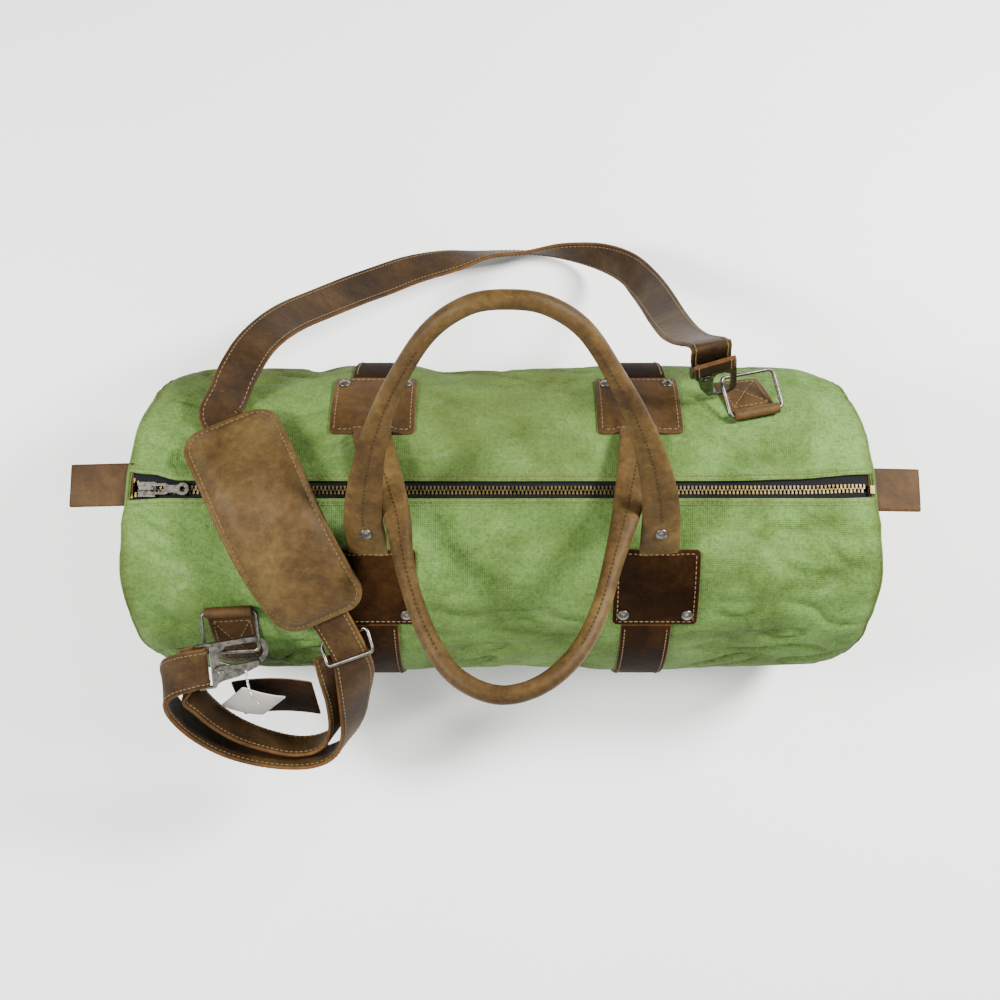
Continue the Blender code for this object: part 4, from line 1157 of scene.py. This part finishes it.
def shoulder_pad():
    half_w = PAD_WIDTH / 2
    half_h = PAD_LENGTH / 2
    depths = [d * MM for d in (0, 0.25, 0.8, 2.0, 3.2, 4.2, 5.2, 6.6, 8.6, 11.5, 15.5, 20)]
    rows = [-half_h + d for d in depths] + spread(-half_h + depths[-1], half_h - depths[-1], 34)[1:-1]
    rows += [half_h - d for d in reversed(depths)]
    verts = []
    for face in (0, 1):
        for b in rows:
            depth = half_h - abs(b)
            w = half_w
            if depth < PAD_CORNER:
                w -= PAD_CORNER - math.sqrt(max(0.0, PAD_CORNER ** 2 - (PAD_CORNER - depth) ** 2))
            steps = [min(d, w * 0.98) for d in depths]
            cuts = [-w + d for d in steps] + spread(-w + steps[-1], w - steps[-1], 12)[1:-1]
            cuts += [w - d for d in reversed(steps)]
            for a in cuts:
                point, normal = pad_place(a, b)
                verts.append(point + normal * pad_heights(a, b)[face])
    faces, marks = slab_faces(len(rows), len(verts) // (2 * len(rows)))
    made = build("padded_shoulder_rest", verts, faces, [LEATHER_PAD, LEATHER_EDGE], "bag", "brown_leather",
                 marks, sharp=70, owner=("shoulder_pad",))
    # One row of stitches all the way round, in the groove.
    w = half_w - PAD_GROOVE
    h = half_h - PAD_GROOVE
    loop = round_corners([(-w, -h), (w, -h), (w, h), (-w, h)], PAD_CORNER - PAD_GROOVE, 10)
    dense = []
    for (a0, b0), (a1, b1) in zip(loop, loop[1:] + loop[:1]):
        steps = max(1, int(math.hypot(a1 - a0, b1 - b0) / (6 * MM)))
        dense += [(a0 + (a1 - a0) * k / steps, b0 + (b1 - b0) * k / steps) for k in range(steps)]
    found = [pad_place(a, b) for a, b in dense + dense[:1]]
    stitches("pad_stitching", [([p + n * 2.7 * MM for p, n in found], [n for _, n in found])], "bag")


def strap(name, path, sides, owner):
    """A leather strap with a row of stitches along both edges of both faces."""
    path = smooth_path(path, 6)
    sides = smooth_path(sides, 6)
    ribbon(name, path, sides, STRAP_WIDTH, STRAP_THICK, [LEATHER, LEATHER_EDGE], "bag", "brown_leather",
           owner=owner)
    reach = STRAP_WIDTH / 2 - 3.2 * MM
    frames = ribbon_frames(path, sides)
    rows = []
    for a in (-reach, reach):
        for sign in (1, -1):
            rows.append(([p + side * a + face * sign * STRAP_THICK / 2 * 1.02 for p, _, side, face in frames],
                         [face * sign for _, _, _, face in frames]))
    stitches(name + "_stitching", rows, "bag")


def follow(route):
    """The points in metres, and the unit vectors across the strap, of a route of (point in mm, direction)."""
    return [Vector(point) * MM for point, _ in route], [Vector(side).normalized() for _, side in route]


def fold_over_bar(hook, near, far):
    """The strap's points round a hook's bar, from near before it to far past it, and the bar's direction."""
    bar = hook @ Vector((0, 16.5 * MM, 0))
    u_axis, v_axis, n_axis = [column.normalized() for column in hook.to_3x3().col]
    around = 3.0 * MM + STRAP_THICK / 2
    fold = [bar - near * u_axis - around * n_axis]
    for a in spread(-90, 90, 6):
        turn = math.radians(a)
        fold.append(bar + around * (math.cos(turn) * u_axis + math.sin(turn) * n_axis))
    return fold + [bar - reach * u_axis + around * n_axis for reach in far], v_axis


# Routes of the strap: (point in millimetres, direction across the strap).
ARCH_ROUTE = (((-206.5, 75, 232), (0.9, 0.2, -0.25)), ((-202, 88, 232), (0.9, -0.3, -0.2)),
              ((-195, 105, 228), (0.88, -0.45, -0.1)), ((-189, 121, 216), (0.85, -0.5, 0.0)),
              ((-180, 138, 199), (0.8, -0.6, 0.05)), ((-168, 157, 173), (0.72, -0.7, 0.05)),
              ((-148, 178, 142), (0.66, -0.74, 0.05)), ((-126, 199, 112), (0.6, -0.79, 0.05)),
              ((-104, 217, 87), (0.5, -0.85, 0.1)), ((-78, 236, 63), (0.4, -0.87, 0.25)),
              ((-46, 252, 41), (0.25, -0.8, 0.5)), ((-15, 263, 27), (0.1, -0.5, 0.85)),
              ((22, 269, 17), (0.02, -0.36, 0.93)), ((59, 268, 21), (-0.02, 0.1, 0.99)),
              ((92, 258, 33), (0.1, 0.45, 0.89)), ((114, 239, 57), (0.35, 0.5, 0.79)),
              ((125, 214, 88), (0.65, 0.5, 0.57)), ((131, 188, 124), (0.85, 0.4, 0.35)),
              ((136, 159, 163), (0.94, 0.3, 0.15)), ((140, 134, 203), (0.96, 0.25, 0.05)),
              ((143, 117, 240), (0.97, 0.2, -0.03)), ((146, 107, 267), (0.97, 0.2, -0.08)),
              ((149, 100.5, 285), (0.97, 0.2, -0.1)), ((151, 95, 292), (0.97, 0.2, -0.1)))
LOOP_INNER = (((-128.5, -118.5, 187), (-0.87, -0.42, -0.2)), ((-126.5, -131, 176), (-0.84, -0.48, 0.1)),
              ((-125, -147, 156), (-0.7, -0.5, 0.45)), ((-128, -165, 134), (-0.45, -0.5, 0.72)),
              ((-137, -178, 118), (-0.2, -0.5, 0.84)), ((-151, -185, 112), (-0.05, -0.5, 0.86)),
              ((-169, -186, 115), (0.0, -0.5, 0.87)), ((-190, -181, 126), (0.1, -0.55, 0.83)),
              ((-209, -173, 141), (0.15, -0.65, 0.74)), ((-224, -162, 158), (0.18, -0.78, 0.55)),
              ((-234, -150, 175), (0.15, -0.9, 0.25)), ((-240, -140, 189), (0.08, -0.94, -0.1)))
LOOP_OUTER = (((-249, -137, 204), (0.06, -0.95, -0.2)), ((-255, -146, 190), (0.12, -0.92, 0.1)),
              ((-251, -159, 172), (0.2, -0.8, 0.45)), ((-239, -173, 155), (0.2, -0.65, 0.72)),
              ((-220, -185, 139), (0.12, -0.55, 0.82)), ((-196, -193, 125), (0.05, -0.5, 0.86)),
              ((-170, -196.5, 116), (0.0, -0.5, 0.87)), ((-147, -195, 113), (-0.08, -0.5, 0.86)),
              ((-129, -187, 118), (-0.22, -0.5, 0.84)), ((-118, -171, 134), (-0.48, -0.5, 0.72)),
              ((-114, -151, 158), (-0.72, -0.5, 0.45)), ((-112, -132, 182), (-0.86, -0.42, -0.15)),
              ((-113.5, -120, 195), (-0.887, -0.25, -0.39)))


def strap_long():
    """From under the pad, over the floor behind the bag and up to the right hook."""
    path = []
    sides = []
    for t, rise in [(t, 0) for t in spread(0.06, 0.94, 10)] + [(1.0, 0.5 * MM), (1.06, 2.4 * MM)]:
        point, side = pad_frame(t, STRAP_OFFSET + rise)
        path.append(point)
        sides.append(side)
    points, across = follow(ARCH_ROUTE)
    fold, bar_side = fold_over_bar(right_hook_frame(), 6 * MM, (6 * MM, 12 * MM))
    strap("shoulder_strap", path + points + fold, sides + across + [-bar_side] * len(fold), ("strap_long",))


def strap_loop():
    """From the slide down round the left hook's bar, and back up under the pad."""
    path, sides = follow(LOOP_INNER)
    fold, bar_side = fold_over_bar(left_hook_frame(), 7 * MM, (8 * MM,))
    points, across = follow(LOOP_OUTER)
    path += fold + points
    sides += [bar_side] * len(fold) + across
    for t, rise in ((-0.12, 5 * MM), (-0.05, 1.8 * MM), (0.035, 0)):
        point, side = pad_frame(t, STRAP_OFFSET + rise)
        path.append(point)
        sides.append(-side)
    strap("strap_doubled_end", path, sides, ("strap_loop",))


def adjuster():
    point, side = pad_frame(-0.16, 9.1 * MM)
    ahead, _ = pad_frame(-0.06, 9.1 * MM)
    up_path = (ahead - point).normalized()
    half = 20.5 * MM
    corners = [(-half, -7 * MM), (half, -7 * MM), (half, 7 * MM), (-half, 7 * MM)]
    normal = side.cross(up_path).normalized()
    path = [point + a * side + b * up_path - b * 0.88 * normal for a, b in round_corners(corners, 3 * MM)]
    tube("strap_slide", path, 1.35 * MM, [NICKEL], "bag", "antique_nickel", 12, closed=True,
         owner=("adjuster_ring",))


# ---------------------------------------------------------------- tabs and tag


def end_tab(word, side, middle, length, droop):
    tucked = 9 * MM
    slope = math.radians(droop)
    out = Vector((side * math.cos(slope), 0, -math.sin(slope)))
    root = Vector((side * (0.280 + 2.2 * MM), middle, 238.6 * MM)) - out * tucked
    root.z = min(root.z, 237.6 * MM)
    length += tucked
    up = Vector((0, 1, 0)).cross(out) * side
    half_gap = TAB_PLY / 2 + 0.15 * MM
    tip = length - half_gap
    upper = [(0.0, 1.0), (length * 0.3, 1.15), (length * 0.7, 1.2)]
    turns = [math.radians(a) for a in spread(90, -90, 10)]
    bend = [(tip + half_gap * math.cos(turn), 1.2 * math.sin(turn)) for turn in turns]
    side_view = upper + bend + [(d, -rise) for d, rise in reversed(upper)]
    path = [root + out * d + up * half_gap * rise for d, rise in side_view]
    ribbon("end_tab_leather_" + word, path, [Vector((0, 1, 0))] * len(path), 32 * MM, TAB_PLY,
           [LEATHER_WARM, LEATHER_EDGE], "bag", "brown_leather", owner=("end_tab_" + word,))
    lines = []
    for y in (-12.6 * MM, 12.6 * MM):
        spots = [root + out * d + up * (half_gap * 1.18 + TAB_PLY / 2) + Vector((0, y, 0))
                 for d in spread(tucked, length - 4 * MM, 12)]
        lines.append((spots, [up] * len(spots)))
    stitches("end_tab_stitching_" + word, lines, "bag")


def tag_plate(name, centre, turn, width, height, mats, curl, owner, slot):
    lean = Matrix.Rotation(math.radians(70), 4, "X")
    place = Matrix.Translation(Vector(centre) * MM) @ lean @ Matrix.Rotation(math.radians(turn), 4, "Z")
    normal = (place.to_3x3() @ Vector((0, 0, 1))).normalized()

    def spot(a, b):
        return place @ Vector((a, b, curl * ((a / width * 2) ** 2 - 0.4))), normal

    return plate(name, spot, width / 2, height / 2, 2.5 * MM, -0.6 * MM, 1.2 * MM, mats, "bag", slot, 14, 14,
                 owner=owner)


def hang_tag():
    tag_plate("tag_leather_cover", (-176, -148, 150), 0, 62 * MM, 66 * MM, [LEATHER_DARK, LEATHER_EDGE], 3 * MM,
              ("hang_tag_cover",), "brown_leather")
    tag_plate("tag_card", (-193, -153, 160), -32, 36 * MM, 44 * MM, [CARD, CARD], -1.5 * MM, ("hang_tag_card",),
              "cream_card")
    path = smooth_path([Vector(p) * MM for p in ((-190, -131, 214), (-189, -142, 207), (-188, -150, 193),
                                                 (-186, -154.5, 178))], 12)
    verts = []
    faces = []
    rings = 7
    sides = 10
    ball_r = 1.2 * MM
    for place, along, _ in resample(path, [Vector((0, 0, 1))] * len(path), 2.7 * MM):
        side = along.orthogonal().normalized()
        other = along.cross(side)
        faces += stack_faces(len(verts), rings, sides)
        for r in range(rings):
            tilt = math.pi * (r + 0.25) / (rings - 0.5)
            centre = place - ball_r * math.cos(tilt) * along
            verts += circle(centre, side, other, ball_r * math.sin(tilt), sides)
    build("tag_ball_chain", verts, faces, [STEEL], "bag", "antique_nickel", owner=("tag_chain",))
    tube("tag_chain_wire", path, 0.45 * MM, [STEEL], "bag", "antique_nickel", 6)


# ---------------------------------------------------------------- stage, light, camera


def floor_material():
    made, tree, shader = new_material("pale_floor")
    cloud = noise_node(tree, object_coords(tree), 2.5, 3)
    tone = ramp(tree, cloud, [(0.3, (0.93, 0.93, 0.93)), (0.7, (0.96, 0.96, 0.96))])
    tree.links.new(tone, shader.inputs["Base Color"])
    shader.inputs["Roughness"].default_value = 0.95
    return made


FLOOR_HALF = 3.0
# Area lights: name, place, aim, size in metres, watts and colour.
LIGHTS = (("key_right", (0.95, 0.35, 1.15), (0.05, 0, 0.15), 0.34, 54, (1, 0.99, 0.97)),
          ("key_left", (-0.95, -0.10, 1.20), (-0.05, 0, 0.15), 0.34, 36, (1, 0.99, 0.97)),
          ("front", (0.1, -1.3, 1.2), (0, 0, 0.12), 0.8, 10, (1, 1, 1)))
CAMERA_PLACE = (-0.0007, -0.1927, 1.2542)
CAMERA_AIM = (-0.0007, 0.0146, 0.12)
CAMERA_LENS = 50.04


def turned_to(place, aim):
    return (Vector(aim) - Vector(place)).to_track_quat("-Z", "Y").to_euler()


def stage():
    mesh = bpy.data.meshes.new("floor")
    corners = ((-1, -1), (1, -1), (1, 1), (-1, 1))
    mesh.from_pydata([(x * FLOOR_HALF, y * FLOOR_HALF, -0.2 * MM) for x, y in corners], [], [(0, 1, 2, 3)])
    mesh.materials.append(floor_material())
    floor = bpy.data.objects.new("floor", mesh)
    bpy.context.scene.collection.objects.link(floor)
    world = bpy.data.worlds.new("studio")
    world.use_nodes = True
    world.node_tree.nodes["Background"].inputs["Color"].default_value = (1, 1, 1, 1)
    world.node_tree.nodes["Background"].inputs["Strength"].default_value = 0.58
    bpy.context.scene.world = world
    for name, place, aim, size, watts, color in LIGHTS:
        data = bpy.data.lights.new(name, "AREA")
        data.energy = watts
        data.size = size
        data.color = color
        lamp = bpy.data.objects.new(name, data)
        lamp.location = place
        lamp.rotation_euler = turned_to(place, aim)
        bpy.context.scene.collection.objects.link(lamp)
    data = bpy.data.cameras.new("camera")
    data.lens = CAMERA_LENS
    data.sensor_width = 36
    data.clip_start = 0.02
    camera = bpy.data.objects.new("camera", data)
    camera.location = CAMERA_PLACE
    camera.rotation_euler = turned_to(CAMERA_PLACE, CAMERA_AIM)
    bpy.context.scene.collection.objects.link(camera)
    bpy.context.scene.camera = camera


stage()
canvas_shell()
patches_and_bands()
handle("front", -1, FRONT_ARCH, 50.0, 170 * MM)
handle("back", 1, BACK_ARCH, 18.0, 130 * MM)
zipper()
ring_set("left", LEFT_STATION, LEFT_RING_LIFT, 62 * MM)
ring_set("right", RIGHT_STATION, RIGHT_RING_LIFT, 44 * MM)
shoulder_pad()
strap_long()
strap_loop()
adjuster()
end_tab("left", -1, 5 * MM, 40 * MM, 8.0)
end_tab("right", 1, 1 * MM, 30 * MM, 6.0)
hang_tag()
for hook_side in ("left", "right"):
    dress(f"hook_{hook_side}_frame", NICKEL, 0.5 * MM, 3)
    dress(f"hook_{hook_side}_lever", NICKEL, 0.4 * MM, 3)
    dress(f"hook_{hook_side}_pin", NICKEL, 0.4 * MM, 3)
for piece, metal in (("zipper_slider", NICKEL), ("zipper_pull", NICKEL), ("zipper_bottom_stop", BRASS)):
    dress(piece, metal, 0.3 * MM, 2)
